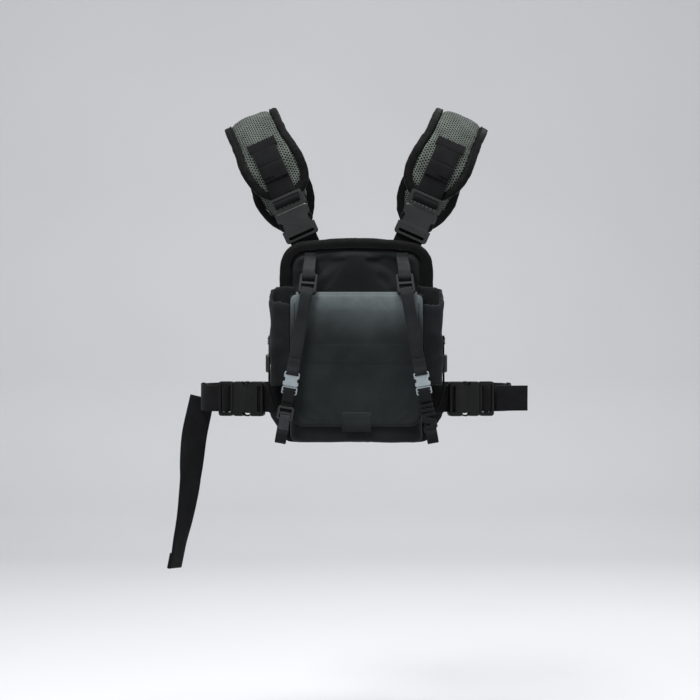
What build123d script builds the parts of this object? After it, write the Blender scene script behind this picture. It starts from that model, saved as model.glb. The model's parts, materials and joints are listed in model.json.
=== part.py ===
"""Binocular harness pack, in the shape it takes when worn.

Row frame, millimetres: +X is the wearer's left, +Y points into the wearer's chest, +Z is up.
The origin is the centre of the pack's rear face, the face that rests on the chest.
"""

from build123d import *
from math import cos, radians, sin
import os

os.makedirs("parts", exist_ok=True)

# ---------------------------------------------------------------- driving dimensions
PANEL_W = 146.0  # back panel width
PANEL_H = 194.0  # back panel height
PANEL_T = 11.0  # back panel thickness, without its mesh pad
PANEL_R = 26.0  # top corner radius
PANEL_BOTTOM_R = 12.0  # bottom corner radius
MESH_T = 3.0  # chest-side spacer mesh
BINDING_W = 11.0  # binding seen from the front
BINDING_PROUD = 2.0  # binding stands this far in front of the panel
POUCH_FRONT = 82.0  # outer face of the front wall, in front of the chest plane
POUCH_TOP_W = 122.0  # width of the front wall
POUCH_BACK_W = 128.0  # width where the side walls meet the back panel
POUCH_TOP = 42.0  # height of the front wall's top edge
WALL = 4.5  # padded wall
FLOOR_Z = -PANEL_H / 2 + 3.0  # underside of the pouch

LID_W = 120.0  # lid width
LID_T = 4.0  # lid panel thickness
RISER_L = 55.0  # lid part that stands up in front of the mouth when it is shut
LID_TOP_L = 66.0  # lid part that lies over the mouth when it is shut
LID_GAP = 1.0  # clearance at the lid's two fold lines

WEB_W = 25.0  # main webbing width
WEB_T = 1.8  # main webbing thickness
CORD_W = 11.0  # tether webbing width
CORD_T = 1.4  # tether webbing thickness

LEAN = 24.0  # shoulder straps lean outward from the vertical
SHOULDER_X = 52.0  # where a shoulder buckle's axis crosses the panel's top edge
SHOULDER_Z = 100.5
TIP_FORWARD = 7.0  # a shoulder buckle's upper end tips this far away from the chest, in degrees
PAD_T = 8.0  # shoulder pad thickness, without its mesh
PAD_MESH_T = 1.8
PAD_BINDING_W = 8.0
BELT_Z = -56.0  # height of the side belts

SIDES = (("left", 1), ("right", -1))


# ---------------------------------------------------------------- helpers
def save(part, name):
    """Labels a finished piece and writes it as its own STEP file."""
    part.label = name
    export_step(part, f"parts/{name}.step")


def save_pair(part, name):
    """Writes a piece of the wearer's left side, and its mirror image for the right side."""
    for side, sign in SIDES:
        save(part if sign > 0 else mirror(part, about=Plane.YZ), f"{side}_{name}")


def shifted(points, radii, distance):
    """A polyline's corners and fillet radii, moved to its left by distance."""
    directions = [(b - a).normalized() for a, b in zip(points, points[1:])]
    normals = [Vector(-d.Y, d.X) for d in directions]
    moved = [points[0] + normals[0] * distance]
    new_radii = []
    for i in range(1, len(points) - 1):
        mitre = (normals[i - 1] + normals[i]).normalized()
        moved.append(points[i] + mitre * (distance / mitre.dot(normals[i])))
        turn = directions[i - 1].X * directions[i].Y - directions[i - 1].Y * directions[i].X
        new_radii.append(radii[i - 1] - distance * (1 if turn > 0 else -1))
    moved.append(points[-1] + normals[-1] * distance)
    return moved, new_radii


def run(points, radii):
    """In a line: straight runs through the points, with a fillet at each corner."""
    if radii:
        FilletPolyline(*points, radius=radii)
    else:
        Line(points[0], points[-1])


def band(corners, radii, low, high):
    """In a sketch: the strip between two offsets of a filleted polyline, measured to its left."""
    points = [Vector(*tuple(c)[:2]) for c in corners]
    near, near_radii = shifted(points, radii, low)
    far, far_radii = shifted(points, radii, high)
    with BuildLine() as outline:
        run(near, near_radii)
        Line(near[-1], far[-1])
        run(far[::-1], far_radii[::-1])
        Line(far[0], near[0])
    make_face(outline.edges())


def strip(plane, corners, radii, low, high, width):
    """A webbing strip: its side profile in a plane, spread to both sides of that plane."""
    with BuildPart() as made:
        with BuildSketch(plane):
            band(corners, radii, low, high)
        extrude(amount=width / 2, both=True)
    return made.part


# ---------------------------------------------------------------- back panel
def panel_outline(inset):
    """In a sketch on the XZ plane: the back panel's outline, moved in by inset."""
    half_w = PANEL_W / 2 - inset
    half_h = PANEL_H / 2 - inset
    top_r = PANEL_R - inset
    low_r = max(PANEL_BOTTOM_R - inset, 1.0)
    crown = 3.0
    with BuildLine() as outline:
        Line((-half_w, half_h - top_r - crown), (-half_w, -half_h + low_r))
        RadiusArc((-half_w, -half_h + low_r), (-half_w + low_r, -half_h), -low_r)
        Line((-half_w + low_r, -half_h), (half_w - low_r, -half_h))
        RadiusArc((half_w - low_r, -half_h), (half_w, -half_h + low_r), -low_r)
        Line((half_w, -half_h + low_r), (half_w, half_h - top_r - crown))
        RadiusArc((half_w, half_h - top_r - crown), (half_w - top_r, half_h - crown), -top_r)
        ThreePointArc((half_w - top_r, half_h - crown), (0, half_h), (-half_w + top_r, half_h - crown))
        RadiusArc((-half_w + top_r, half_h - crown), (-half_w, half_h - top_r - crown), -top_r)
    make_face(outline.edges())


def panel_plane(depth):
    """The upright plane at a depth in front of the chest plane, its normal towards the viewer."""
    return Plane(origin=(0, -depth, 0), x_dir=(1, 0, 0), z_dir=(0, -1, 0))


MAGNET_R = 5.0
MAGNET_T = 2.0
MAGNET_X = 34.0
STIFF_T = 1.5
STIFF_INSET = 16.0
PANEL_FRONT = MESH_T + PANEL_T
MAGNET_Z = PANEL_H / 2 - BINDING_W - MAGNET_R - 3.5

with BuildPart() as back_mesh_pad:
    with BuildSketch(panel_plane(0)):
        panel_outline(BINDING_W)
    extrude(amount=MESH_T)
save(back_mesh_pad.part, "back_mesh_pad")

with BuildPart() as panel_stiffener:
    with BuildSketch(panel_plane(MESH_T + 3.0)):
        panel_outline(STIFF_INSET)
    extrude(amount=STIFF_T)
save(panel_stiffener.part, "back_panel_stiffener")

with BuildPart() as panel_magnets:
    with BuildSketch(panel_plane(PANEL_FRONT - MAGNET_T - 2.0)):
        with Locations((-MAGNET_X, MAGNET_Z), (MAGNET_X, MAGNET_Z)):
            Circle(MAGNET_R)
    extrude(amount=MAGNET_T)
save(panel_magnets.part, "back_panel_magnets")

with BuildPart() as back_panel:
    with BuildSketch(panel_plane(MESH_T)):
        panel_outline(BINDING_W)
    extrude(amount=PANEL_T)
    add(panel_stiffener.part, mode=Mode.SUBTRACT)
    add(panel_magnets.part, mode=Mode.SUBTRACT)
save(back_panel.part, "back_panel")

with BuildPart() as panel_binding:
    with BuildSketch(panel_plane(0)):
        panel_outline(0)
    extrude(amount=PANEL_FRONT + BINDING_PROUD)
    with BuildSketch(panel_plane(0)):
        panel_outline(BINDING_W)
    extrude(amount=PANEL_FRONT + BINDING_PROUD, mode=Mode.SUBTRACT)
    outer = panel_binding.faces().sort_by(Axis.Y)[0].outer_wire().edges()
    fillet(outer, 4.0)
save(panel_binding.part, "back_panel_binding")


# ---------------------------------------------------------------- pouch
POUCH_BACK = PANEL_FRONT


def pouch_plan(inset, front, back_inset):
    """In a sketch on a level plane: the pouch's plan, wider at the chest than at the front."""
    half_back = POUCH_BACK_W / 2 - inset - BINDING_W / 2
    half_front = POUCH_TOP_W / 2 - inset
    radius = max(10.0 - inset, 3.0)
    with BuildLine() as outline:
        FilletPolyline(
            (-half_back, -POUCH_BACK - back_inset),
            (-half_front, -front + inset),
            (half_front, -front + inset),
            (half_back, -POUCH_BACK - back_inset),
            radius=radius,
        )
        Line((half_back, -POUCH_BACK - back_inset), (-half_back, -POUCH_BACK - back_inset))
    make_face(outline.edges())


RIM_H = 6.0
with BuildPart() as pouch_space:
    with BuildSketch(Plane.XY.offset(FLOOR_Z + WALL)):
        pouch_plan(WALL, POUCH_FRONT, -1.0)
    extrude(amount=PANEL_H)

with BuildPart() as pouch_shell:
    with BuildSketch(Plane.XY.offset(FLOOR_Z)):
        pouch_plan(0, POUCH_FRONT, 0)
    extrude(amount=POUCH_TOP - RIM_H - FLOOR_Z)
    fillet(pouch_shell.faces().sort_by(Axis.Z)[0].edges().sort_by(Axis.Y)[:3], 6.0)
    add(pouch_space.part, mode=Mode.SUBTRACT)
    add(panel_binding.part, mode=Mode.SUBTRACT)
save(pouch_shell.part, "pouch_shell")

with BuildPart() as pouch_rim:
    with BuildSketch(Plane.XY.offset(POUCH_TOP - RIM_H)):
        pouch_plan(0, POUCH_FRONT, 0)
    extrude(amount=RIM_H)
    fillet(pouch_rim.faces().sort_by(Axis.Z)[-1].edges().sort_by(Axis.Y)[:3], 2.0)
    add(pouch_space.part, mode=Mode.SUBTRACT)
save(pouch_rim.part, "pouch_rim_binding")

# ---------------------------------------------------------------- lid, hanging open in front
HINGE_Z = POUCH_TOP + 0.5  # the lid's hinge line, just over the front wall's outer edge
FOLD_Z = HINGE_Z - LID_GAP - RISER_L
LID_Y = -(POUCH_FRONT + LID_GAP)
LID_PLANE = Plane(origin=(0, LID_Y, 0), x_dir=(1, 0, 0), z_dir=(0, -1, 0))
LID_STIFF_T = 1.0
LID_R = 12.0

with BuildPart() as lid_stiff_riser:
    with BuildSketch(LID_PLANE.offset(1.5)):
        with Locations((0, FOLD_Z + RISER_L / 2)):
            RectangleRounded(LID_W - 16, RISER_L - 12, 4)
    extrude(amount=LID_STIFF_T)
save(lid_stiff_riser.part, "lid_riser_stiffener")

TOP_STIFF_L = LID_TOP_L - 24.0
with BuildPart() as lid_stiff_top:
    with BuildSketch(LID_PLANE.offset(1.5)):
        with Locations((0, FOLD_Z - 6.0 - TOP_STIFF_L / 2)):
            RectangleRounded(LID_W - 16, TOP_STIFF_L, 4)
    extrude(amount=LID_STIFF_T)
save(lid_stiff_top.part, "lid_top_stiffener")

LID_MAGNET_Z = FOLD_Z - LID_TOP_L + MAGNET_R + 4.0
with BuildPart() as lid_magnets:
    with BuildSketch(LID_PLANE.offset(1.25)):
        with Locations((-MAGNET_X, LID_MAGNET_Z), (MAGNET_X, LID_MAGNET_Z)):
            Circle(MAGNET_R)
    extrude(amount=1.5)
save(lid_magnets.part, "lid_magnets")

with BuildPart() as lid_riser:
    with BuildSketch(LID_PLANE):
        with Locations((0, FOLD_Z + RISER_L / 2)):
            Rectangle(LID_W, RISER_L - LID_GAP)
    extrude(amount=LID_T)
    fillet(lid_riser.edges().filter_by(Axis.X).group_by(Axis.Z)[-1], 1.9)
    add(lid_stiff_riser.part, mode=Mode.SUBTRACT)
save(lid_riser.part, "lid_riser_panel")

with BuildPart() as lid_top:
    with BuildSketch(LID_PLANE):
        with Locations((0, FOLD_Z - LID_TOP_L / 2)):
            Rectangle(LID_W, LID_TOP_L - LID_GAP)
        fillet(vertices().group_by(Axis.Y)[0], LID_R)
    extrude(amount=LID_T)
    add(lid_stiff_top.part, mode=Mode.SUBTRACT)
    add(lid_magnets.part, mode=Mode.SUBTRACT)
save(lid_top.part, "lid_top_panel")

TAB_W = 26.0
TAB_L = 18.0
TAB_T = 1.0
with BuildPart() as lid_tab:
    with BuildSketch(LID_PLANE.offset(LID_T)):
        with Locations((0, FOLD_Z - LID_TOP_L + TAB_L / 2 - 4.0)):
            RectangleRounded(TAB_W, TAB_L, 2)
    extrude(amount=TAB_T)
save(lid_tab.part, "lid_pull_tab")


# ---------------------------------------------------------------- side-release buckles
class Buckle:
    """Proportions of one side-release buckle, driven by its webbing width."""

    def __init__(self, web, wall, body, base, prong, thick):
        self.web = web  # webbing width
        self.width = web + 2 * wall
        self.body = body  # socket length without its anchor end
        self.base = base  # plug length outside the socket
        self.prong = prong  # plug length inside the socket
        self.thick = thick
        self.slot = web + 1.0
        self.cavity_w = web + wall * 0.6
        self.cavity_h = thick * 0.56


BIG = Buckle(web=WEB_W, wall=4.0, body=24.5, base=14.0, prong=19.0, thick=9.0)
MINI = Buckle(web=CORD_W, wall=1.5, body=10.0, base=7.0, prong=8.0, thick=5.0)


def buckle_socket(b, plane):
    """The socket. Its mouth is at the plane's origin, and its body runs along -x to the anchor bar."""
    anchor = b.base * 0.42
    with BuildPart() as made:
        with BuildSketch(plane.offset(-b.thick / 2)):
            with Locations((-(b.body + anchor) / 2, 0)):
                RectangleRounded(b.body + anchor, b.width, b.thick * 0.35)
        extrude(amount=b.thick)
        chamfer(made.edges().filter_by(lambda e: e.length > b.thick * 1.01), b.thick * 0.09)
        with BuildSketch(plane.offset(-b.cavity_h / 2)):
            with Locations((-b.prong * 0.55, 0)):
                Rectangle(b.prong * 1.1, b.cavity_w)
        extrude(amount=b.cavity_h, mode=Mode.SUBTRACT)
        with BuildSketch(plane.offset(-b.cavity_h / 2)):
            with Locations((-b.prong * 0.72, 0)):
                Rectangle(b.prong * 0.5, b.width * 1.1)
        extrude(amount=b.cavity_h, mode=Mode.SUBTRACT)
        with BuildSketch(plane.offset(-b.thick)):
            with Locations((-b.prong * 0.72, b.width / 2), (-b.prong * 0.72, -b.width / 2)):
                Ellipse(b.prong * 0.25, b.width * 0.13)
            with Locations((-(b.body + anchor * 0.28), 0)):
                SlotOverall(b.slot, anchor * 0.52, rotation=90)
        extrude(amount=b.thick * 2, mode=Mode.SUBTRACT)
    return made.part


def buckle_plug(b, plane):
    """The plug. Its shoulder is at the plane's origin, its prongs run along -x and its base along +x."""
    bar = b.base * 0.16
    gap = (b.base - 3 * bar) / 2
    height = b.cavity_h * 0.8
    arm = b.cavity_w / 2 - b.web * 0.07
    with BuildPart() as made:
        with BuildSketch(plane.offset(-b.thick * 0.4)):
            with Locations((b.base / 2 + 0.3, 0)):
                RectangleRounded(b.base, b.width, b.thick * 0.3)
            with Locations((0.3 + bar + gap / 2, 0), (0.3 + 2 * bar + 1.5 * gap, 0)):
                Rectangle(gap, b.slot, mode=Mode.SUBTRACT)
        extrude(amount=b.thick * 0.8)
        with BuildSketch(plane.offset(-height / 2)):
            with Locations((-b.prong * 0.4, 0)):
                Rectangle(b.prong * 0.8 + 1.6, b.web * 0.2)
            with Locations((-b.prong * 0.45, arm - 1), (-b.prong * 0.45, 1 - arm)):
                Rectangle(b.prong * 0.9 + 1.6, b.web * 0.11)
            with Locations((-b.prong * 0.78, arm - 0.4), (-b.prong * 0.78, 0.4 - arm)):
                Ellipse(b.prong * 0.2, b.web * 0.085)
        extrude(amount=height)
    return made.part


# ---------------------------------------------------------------- shoulder straps
OUT = Vector(sin(radians(LEAN)), 0, cos(radians(LEAN)))
ARCH = Plane(origin=(SHOULDER_X, 0, SHOULDER_Z), x_dir=(0, 1, 0), z_dir=Vector(0, 1, 0).cross(OUT))
# the pad's chest-side face, from its front tip over the shoulder to its rear tip, in the arch's plane
ARCH_PATH = [(5, 34), (9, 78), (42, 121), (106, 121), (168, 80), (186, 18)]
ARCH_RADII = [46, 46, 50, 60]
PAD_MAX_W = 64.0
PAD_TOP_W = 56.0
SPLIT_U = 70.0  # the top of the shoulder, where the front outline hands over to the rear one
# each end's edge, from the neck side round its tip to the outer side: across the pad, and up
PAD_TOP_V = 108.0
FRONT_EDGE = [(-31, 82), (-32, 62), (-27, 45), (-8, 34), (13, 40.5), (25, 56), (29.5, 78)]
REAR_EDGE = [(-32, 62), (-21, 30), (0, 18), (21, 30), (32, 62)]


def pad_outline(inset):
    """The prism that trims a shoulder pad to its outline, moved in by inset."""
    top = PAD_TOP_W / 2
    with BuildPart() as made:
        for edge, start, length in ((FRONT_EDGE, -40.0, 40.0 + SPLIT_U), (REAR_EDGE, SPLIT_U, 160.0)):
            face = Plane(origin=ARCH.from_local_coords((start, 0, 0)), x_dir=ARCH.z_dir, z_dir=ARCH.x_dir)
            up = face.y_dir.dot(OUT)
            corners = [Vector(x, y) for x, y in [(-top, PAD_TOP_V), *edge, (top, PAD_TOP_V)]]
            moved = [Vector(inset - top, PAD_TOP_V)]
            for before, corner, after in zip(corners, corners[1:], corners[2:]):
                along = (after - before).normalized()
                moved.append(corner + Vector(-along.Y, along.X) * inset)
            moved.append(Vector(top - inset, PAD_TOP_V))
            with BuildSketch(face):
                with BuildLine() as outline:
                    Spline(*[(p.X, up * p.Y) for p in moved], tangents=((0, -up), (0, up)))
                    Polyline(
                        (top - inset, up * PAD_TOP_V),
                        (top - inset, up * 170),
                        (inset - top, up * 170),
                        (inset - top, up * PAD_TOP_V),
                    )
                make_face(outline.edges())
            extrude(amount=length)
    return made.part


def pad_layer(low, high, outline):
    """A layer of the shoulder pad between two heights above the chest, trimmed to an outline."""
    with BuildPart() as made:
        with BuildSketch(ARCH):
            band(ARCH_PATH, ARCH_RADII, low, high)
        extrude(amount=PAD_MAX_W / 2 + 4, both=True)
        add(outline, mode=Mode.INTERSECT)
    return made.part


outer_outline = pad_outline(0)
inner_outline = pad_outline(PAD_BINDING_W)
pad_core = pad_layer(0.8, PAD_T, inner_outline)
pad_mesh = pad_layer(PAD_T, PAD_T + PAD_MESH_T, inner_outline)
with BuildPart() as pad_binding:
    add(pad_layer(0.0, PAD_T + PAD_MESH_T + 0.6, outer_outline))
    add(inner_outline, mode=Mode.SUBTRACT)
save_pair(pad_core, "pad_foam")
save_pair(pad_mesh, "pad_mesh")
save_pair(pad_binding.part, "pad_binding")

# the buckle on the chest: its plug is above, and its socket is sewn to the panel's top edge
MOUTH_V = 26.5
BUCKLE_U = -9.8
tip_cos, tip_sin = cos(radians(TIP_FORWARD)), sin(radians(TIP_FORWARD))
shoulder_plane = Plane(
    origin=ARCH.from_local_coords((BUCKLE_U, MOUTH_V, 0)),
    x_dir=OUT * tip_cos + Vector(0, -tip_sin, 0),
    z_dir=Vector(0, -tip_cos, 0) - OUT * tip_sin,
)
save_pair(buckle_socket(BIG, shoulder_plane), "shoulder_socket")
save_pair(buckle_plug(BIG, shoulder_plane), "shoulder_plug")


def seen_in(sketch_plane, buckle_plane, x, z):
    """A point in a buckle's lengthwise section, as sketch coordinates of another plane."""
    point = sketch_plane.to_local_coords(buckle_plane.from_local_coords((x, 0, z)))
    return (point.X, point.Y)


SOCKET_BAR = -(BIG.body + BIG.base * 0.42 * 0.28)
ANCHOR_L = 13.0
with BuildPart() as shoulder_anchor:
    with BuildSketch(ARCH):
        band(
            [
                seen_in(ARCH, shoulder_plane, SOCKET_BAR - ANCHOR_L, 0),
                seen_in(ARCH, shoulder_plane, SOCKET_BAR + 1.0, 0),
            ],
            [],
            -WEB_T / 2,
            WEB_T / 2,
        )
    extrude(amount=WEB_W / 2, both=True)
save_pair(shoulder_anchor.part, "shoulder_anchor")

# the webbing is sewn along the pad, then passes behind the plug's last bar and over its middle one
WEB_LOW = PAD_T + PAD_MESH_T + 0.7
BAR_PASS = [(5.7, -2.2), (5.7, 4.2), (9.6, 4.2), (9.6, -5.8), (15.0, -5.8)]  # along, and away from the chest
BAR_RADII = [1.6, 1.6, 2.4]
on_pad, on_pad_radii = shifted([Vector(*c) for c in ARCH_PATH[:3]], ARCH_RADII[:1], WEB_LOW)
pad_web_path = [seen_in(ARCH, shoulder_plane, x, z) for x, z in BAR_PASS]
pad_web_path += [on_pad[0] + (on_pad[1] - on_pad[0]) * 0.56, on_pad[1], on_pad[1] + (on_pad[2] - on_pad[1]) * 0.42]
with BuildPart() as pad_webbing:
    with BuildSketch(ARCH):
        band(pad_web_path, BAR_RADII + [12, 20] + on_pad_radii, 0, WEB_T)
    extrude(amount=WEB_W / 2, both=True)
save_pair(pad_webbing.part, "pad_webbing")

# a hook-and-loop patch crosses each pad where its webbing ends
PATCH_V = 95.0
with BuildPart() as pad_patch:
    with BuildSketch(ARCH):
        band(ARCH_PATH, ARCH_RADII, WEB_LOW, WEB_LOW + WEB_T + 1.2)
    extrude(amount=14.5, both=True)
    add(pad_webbing.part, mode=Mode.SUBTRACT)
    with BuildSketch(ARCH):
        with Locations((0, PATCH_V)):
            Rectangle(70, 10)
    extrude(amount=40, both=True, mode=Mode.INTERSECT)
with BuildPart() as pad_patches:
    add(pad_patch.part)
    add(mirror(pad_patch.part, about=Plane.YZ))
save(pad_patches.part, "pad_patches")


# ---------------------------------------------------------------- side pockets
POCKET_IN = 58.0  # inside the pouch's side wall, which trims the pocket
POCKET_OUT = 81.0
POCKET_BACK = 16.5
POCKET_FRONT = 60.0
POCKET_LOW = -42.0
POCKET_WALL = 2.6
MOUTH_BACK = 48.0  # height of the slanting mouth at the chest side
MOUTH_FRONT = 27.0
HEM = 7.0


def pocket_block(inset, low):
    """The pocket's bulging outer shape, moved in by inset, open towards the pouch."""
    with BuildPart() as made:
        with BuildSketch(Plane.XY.offset(low)):
            with BuildLine() as outline:
                FilletPolyline(
                    (POCKET_IN, -POCKET_BACK - inset),
                    (POCKET_OUT - inset, -POCKET_BACK - 4 - inset),
                    (POCKET_OUT - inset, -POCKET_FRONT + 6 + inset),
                    (POCKET_IN, -POCKET_FRONT + inset),
                    radius=9.0 - inset,
                )
                Line((POCKET_IN, -POCKET_FRONT + inset), (POCKET_IN, -POCKET_BACK - inset))
            make_face(outline.edges())
        extrude(amount=120)
    return made.part


def under_mouth(drop):
    """The space under the pocket's slanting mouth, lowered by drop."""
    reach = 200
    slope = (MOUTH_BACK - MOUTH_FRONT) / (POCKET_FRONT - POCKET_BACK)
    with BuildPart() as made:
        with BuildSketch(Plane.YZ):
            with BuildLine() as outline:
                Polyline(
                    (-POCKET_BACK + 20, MOUTH_BACK + 20 * slope - drop),
                    (-POCKET_FRONT - 20, MOUTH_FRONT - 20 * slope - drop),
                    (-POCKET_FRONT - 20, -reach),
                    (-POCKET_BACK + 20, -reach),
                    close=True,
                )
            make_face(outline.edges())
        extrude(amount=reach)
    return made.part


pocket_space = pocket_block(POCKET_WALL, POCKET_LOW + POCKET_WALL)
with BuildPart() as pouch_solid:
    with BuildSketch(Plane.XY.offset(FLOOR_Z)):
        pouch_plan(0, POUCH_FRONT, 0)
    extrude(amount=PANEL_H)
with BuildPart() as side_pocket:
    add(pocket_block(0.6, POCKET_LOW))
    add(under_mouth(HEM), mode=Mode.INTERSECT)
with BuildPart() as pocket_hem:
    add(pocket_block(0.0, POCKET_LOW))
    add(under_mouth(0), mode=Mode.INTERSECT)
    add(under_mouth(HEM), mode=Mode.SUBTRACT)
with BuildPart() as hemmed_pocket:
    add(side_pocket.part)
    add(pocket_hem.part)
    add(pocket_space, mode=Mode.SUBTRACT)
    add(pouch_solid.part, mode=Mode.SUBTRACT)
save_pair(hemmed_pocket.part, "side_pocket")

# a compression strap runs from the pocket's foot down to the wing, through a small ladder lock
POCKET_STRAP_PLANE = Plane(origin=(0, -30, 0), x_dir=(1, 0, 0), z_dir=(0, -1, 0))
pocket_strap = strip(
    POCKET_STRAP_PLANE,
    [(POCKET_OUT, 4), (POCKET_OUT, -47), (POCKET_OUT - 5, -64), (POUCH_TOP_W / 2 - 0.6, -74)],
    [30, 12],
    0,
    CORD_T,
    CORD_W,
)
save_pair(pocket_strap, "pocket_strap")


def ladder_lock(plane, web, length, thick):
    """A flat frame with three bars, centred on its plane, its length along x."""
    width = web + 5.6
    slot_l = (length - 3 * 2.6) / 2
    offset = (slot_l + 2.6) / 2
    with BuildPart() as made:
        with BuildSketch(plane.offset(-thick / 2)):
            RectangleRounded(length, width, 3.0)
            with Locations((-offset, 0), (offset, 0)):
                Rectangle(slot_l, web + 0.8, mode=Mode.SUBTRACT)
        extrude(amount=thick)
        top = made.faces().sort_by(Axis(plane.origin, plane.z_dir))[-1]
        chamfer(top.outer_wire().edges(), thick * 0.25)
    return made.part


pocket_lock = ladder_lock(
    Plane(origin=(POCKET_OUT + CORD_T + 0.6, -30, -22), x_dir=(0, 0, 1), z_dir=(1, 0, 0)), CORD_W, 17.0, 3.6
)
with BuildPart() as pocket_locks:
    add(pocket_lock)
    add(mirror(pocket_lock, about=Plane.YZ))
save(pocket_locks.part, "pocket_strap_locks")

# ---------------------------------------------------------------- wings and side belts
BELT_YAW = 14.0
MOUTH_X = 117.0
along = Vector(cos(radians(BELT_YAW)), sin(radians(BELT_YAW)), 0)
belt_plane = Plane(
    origin=(MOUTH_X, -1.0, BELT_Z), x_dir=along, z_dir=(sin(radians(BELT_YAW)), -cos(radians(BELT_YAW)), 0)
)
save_pair(buckle_socket(BIG, belt_plane), "belt_socket")
save_pair(buckle_plug(BIG, belt_plane), "belt_plug")

# the wing is sewn to the panel's side, and the socket's short webbing is sewn to the wing
WING_FRONT = 8.0
WING_T = 4.0
LEVEL = Plane.XY.offset(BELT_Z)
with BuildPart() as side_wing:
    with BuildSketch(panel_plane(WING_FRONT - WING_T)):
        with BuildLine() as outline:
            FilletPolyline(
                (PANEL_W / 2, -26),
                (PANEL_W / 2 + 9, BELT_Z + 16),
                (PANEL_W / 2 + 9, BELT_Z - 16),
                (PANEL_W / 2, -86),
                radius=4,
            )
            Line((PANEL_W / 2, -86), (PANEL_W / 2, -26))
        make_face(outline.edges())
    extrude(amount=WING_T)
    with BuildSketch(LEVEL):
        band(
            [
                (PANEL_W / 2, -WING_FRONT - WEB_T),
                (PANEL_W / 2 + 7, -WING_FRONT - WEB_T),
                seen_in(LEVEL, belt_plane, SOCKET_BAR + 1.0, WEB_T / 2),
            ],
            [6],
            0,
            WEB_T,
        )
    extrude(amount=WEB_W / 2, both=True)
save_pair(side_wing.part, "side_wing")

# the belt webbing runs from the plug's last bar round the ribs to the yoke on the back
TORSO_SIDE = 152.0
YOKE_BODY = 203.0  # the yoke's face that rests on the back
YOKE_T = 9.0
RIB_TURN = Vector(148, 18)
BELT_PATH = [seen_in(LEVEL, belt_plane, x, z) for x, z in BAR_PASS] + [
    RIB_TURN,
    (TORSO_SIDE, 56),
    (TORSO_SIDE, 132),
    (118, 194),
    (62, YOKE_BODY + YOKE_T),
    (24, YOKE_BODY + YOKE_T),
]
BELT_RADII = BAR_RADII + [12, 26, 60, 60, 60, 40]


def belt_solid():
    """The belt webbing of the +X side; its path is the face turned to the body."""
    with BuildPart() as made:
        with BuildSketch(LEVEL):
            band(BELT_PATH, BELT_RADII, -WEB_T, 0)
        extrude(amount=WEB_W / 2, both=True)
    return made.part


# the wearer's left tail lies on the belt and stands off where the belt turns round the ribs
with BuildPart() as left_belt:
    add(belt_solid())
    tail_from = Vector(*BELT_PATH[4])
    tail_from = tail_from + (RIB_TURN - tail_from).normalized() * 3.0
    with BuildSketch(LEVEL):
        band([tail_from, RIB_TURN, (165, 23)], [40], -2 * WEB_T, -WEB_T)
    extrude(amount=WEB_W / 2, both=True)
save(left_belt.part, "left_belt_webbing")

# the wearer's right tail hangs down from the belt, its end folded over and sewn
TAIL_L = 164.0
tail_down = Vector(0.145, -0.05, -1).normalized()
tail_wide = Vector(0.8, -0.6, 0)
tail_wide = (tail_wide - tail_down * tail_wide.dot(tail_down)).normalized()
tail_plane = Plane(origin=(TORSO_SIDE + 0.6, 50, BELT_Z - 6), x_dir=tail_down, z_dir=tail_wide)
with BuildPart() as right_belt:
    add(belt_solid())
    with BuildSketch(tail_plane):
        band([(0, 0), (34, 4), (92, -3), (TAIL_L, 3)], [90, 120], 0, WEB_T)
    extrude(amount=WEB_W / 2, both=True)
    with BuildSketch(tail_plane):
        with Locations((TAIL_L - 7, 3.1)):
            Rectangle(15, 5.4)
    extrude(amount=WEB_W / 2 + 0.5, both=True)
save(mirror(right_belt.part, about=Plane.YZ), "right_belt_webbing")

# an elastic keeper grips each belt beside the ribs
KEEPER_Y = 84.0
KEEPER_L = 11.0
with BuildPart() as belt_keepers:
    for side in (1, -1):
        belt_x = side * (TORSO_SIDE + WEB_T / 2)
        with BuildSketch(Plane(origin=(belt_x, KEEPER_Y, BELT_Z), x_dir=(1, 0, 0), z_dir=(0, -1, 0))):
            RectangleRounded(WEB_T + 2.8, WEB_W + 2.8, 1.2)
            Rectangle(WEB_T, WEB_W, mode=Mode.SUBTRACT)
        extrude(amount=KEEPER_L)
save(belt_keepers.part, "belt_keepers")


# ---------------------------------------------------------------- yoke on the wearer's back
def yoke_outline(inset):
    """In a sketch on an upright plane: the yoke's outline, wider at the belts."""
    top = 42.0 - inset
    low = -82.0 + inset
    with BuildLine() as outline:
        FilletPolyline(
            (0, top),
            (40 - inset, top),
            (52 - inset, BELT_Z + 18),
            (52 - inset, BELT_Z - 18),
            (34 - inset * 0.7, low),
            (0, low),
            radius=10.0 - inset * 0.6,
        )
        FilletPolyline(
            (0, top),
            (inset - 40, top),
            (inset - 52, BELT_Z + 18),
            (inset - 52, BELT_Z - 18),
            (inset * 0.7 - 34, low),
            (0, low),
            radius=10.0 - inset * 0.6,
        )
    make_face(outline.edges())


YOKE_BINDING = 6.0
yoke_plane = Plane(origin=(0, YOKE_BODY + YOKE_T, 0), x_dir=(1, 0, 0), z_dir=(0, -1, 0))
with BuildPart() as yoke_panel:
    with BuildSketch(yoke_plane.offset(0.8)):
        yoke_outline(YOKE_BINDING)
    extrude(amount=YOKE_T - 1.6)
save(yoke_panel.part, "back_yoke")
with BuildPart() as yoke_binding:
    with BuildSketch(yoke_plane):
        yoke_outline(0)

    extrude(amount=YOKE_T)
    with BuildSketch(yoke_plane):
        yoke_outline(YOKE_BINDING)
    extrude(amount=YOKE_T, mode=Mode.SUBTRACT)
save(yoke_binding.part, "back_yoke_binding")

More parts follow.
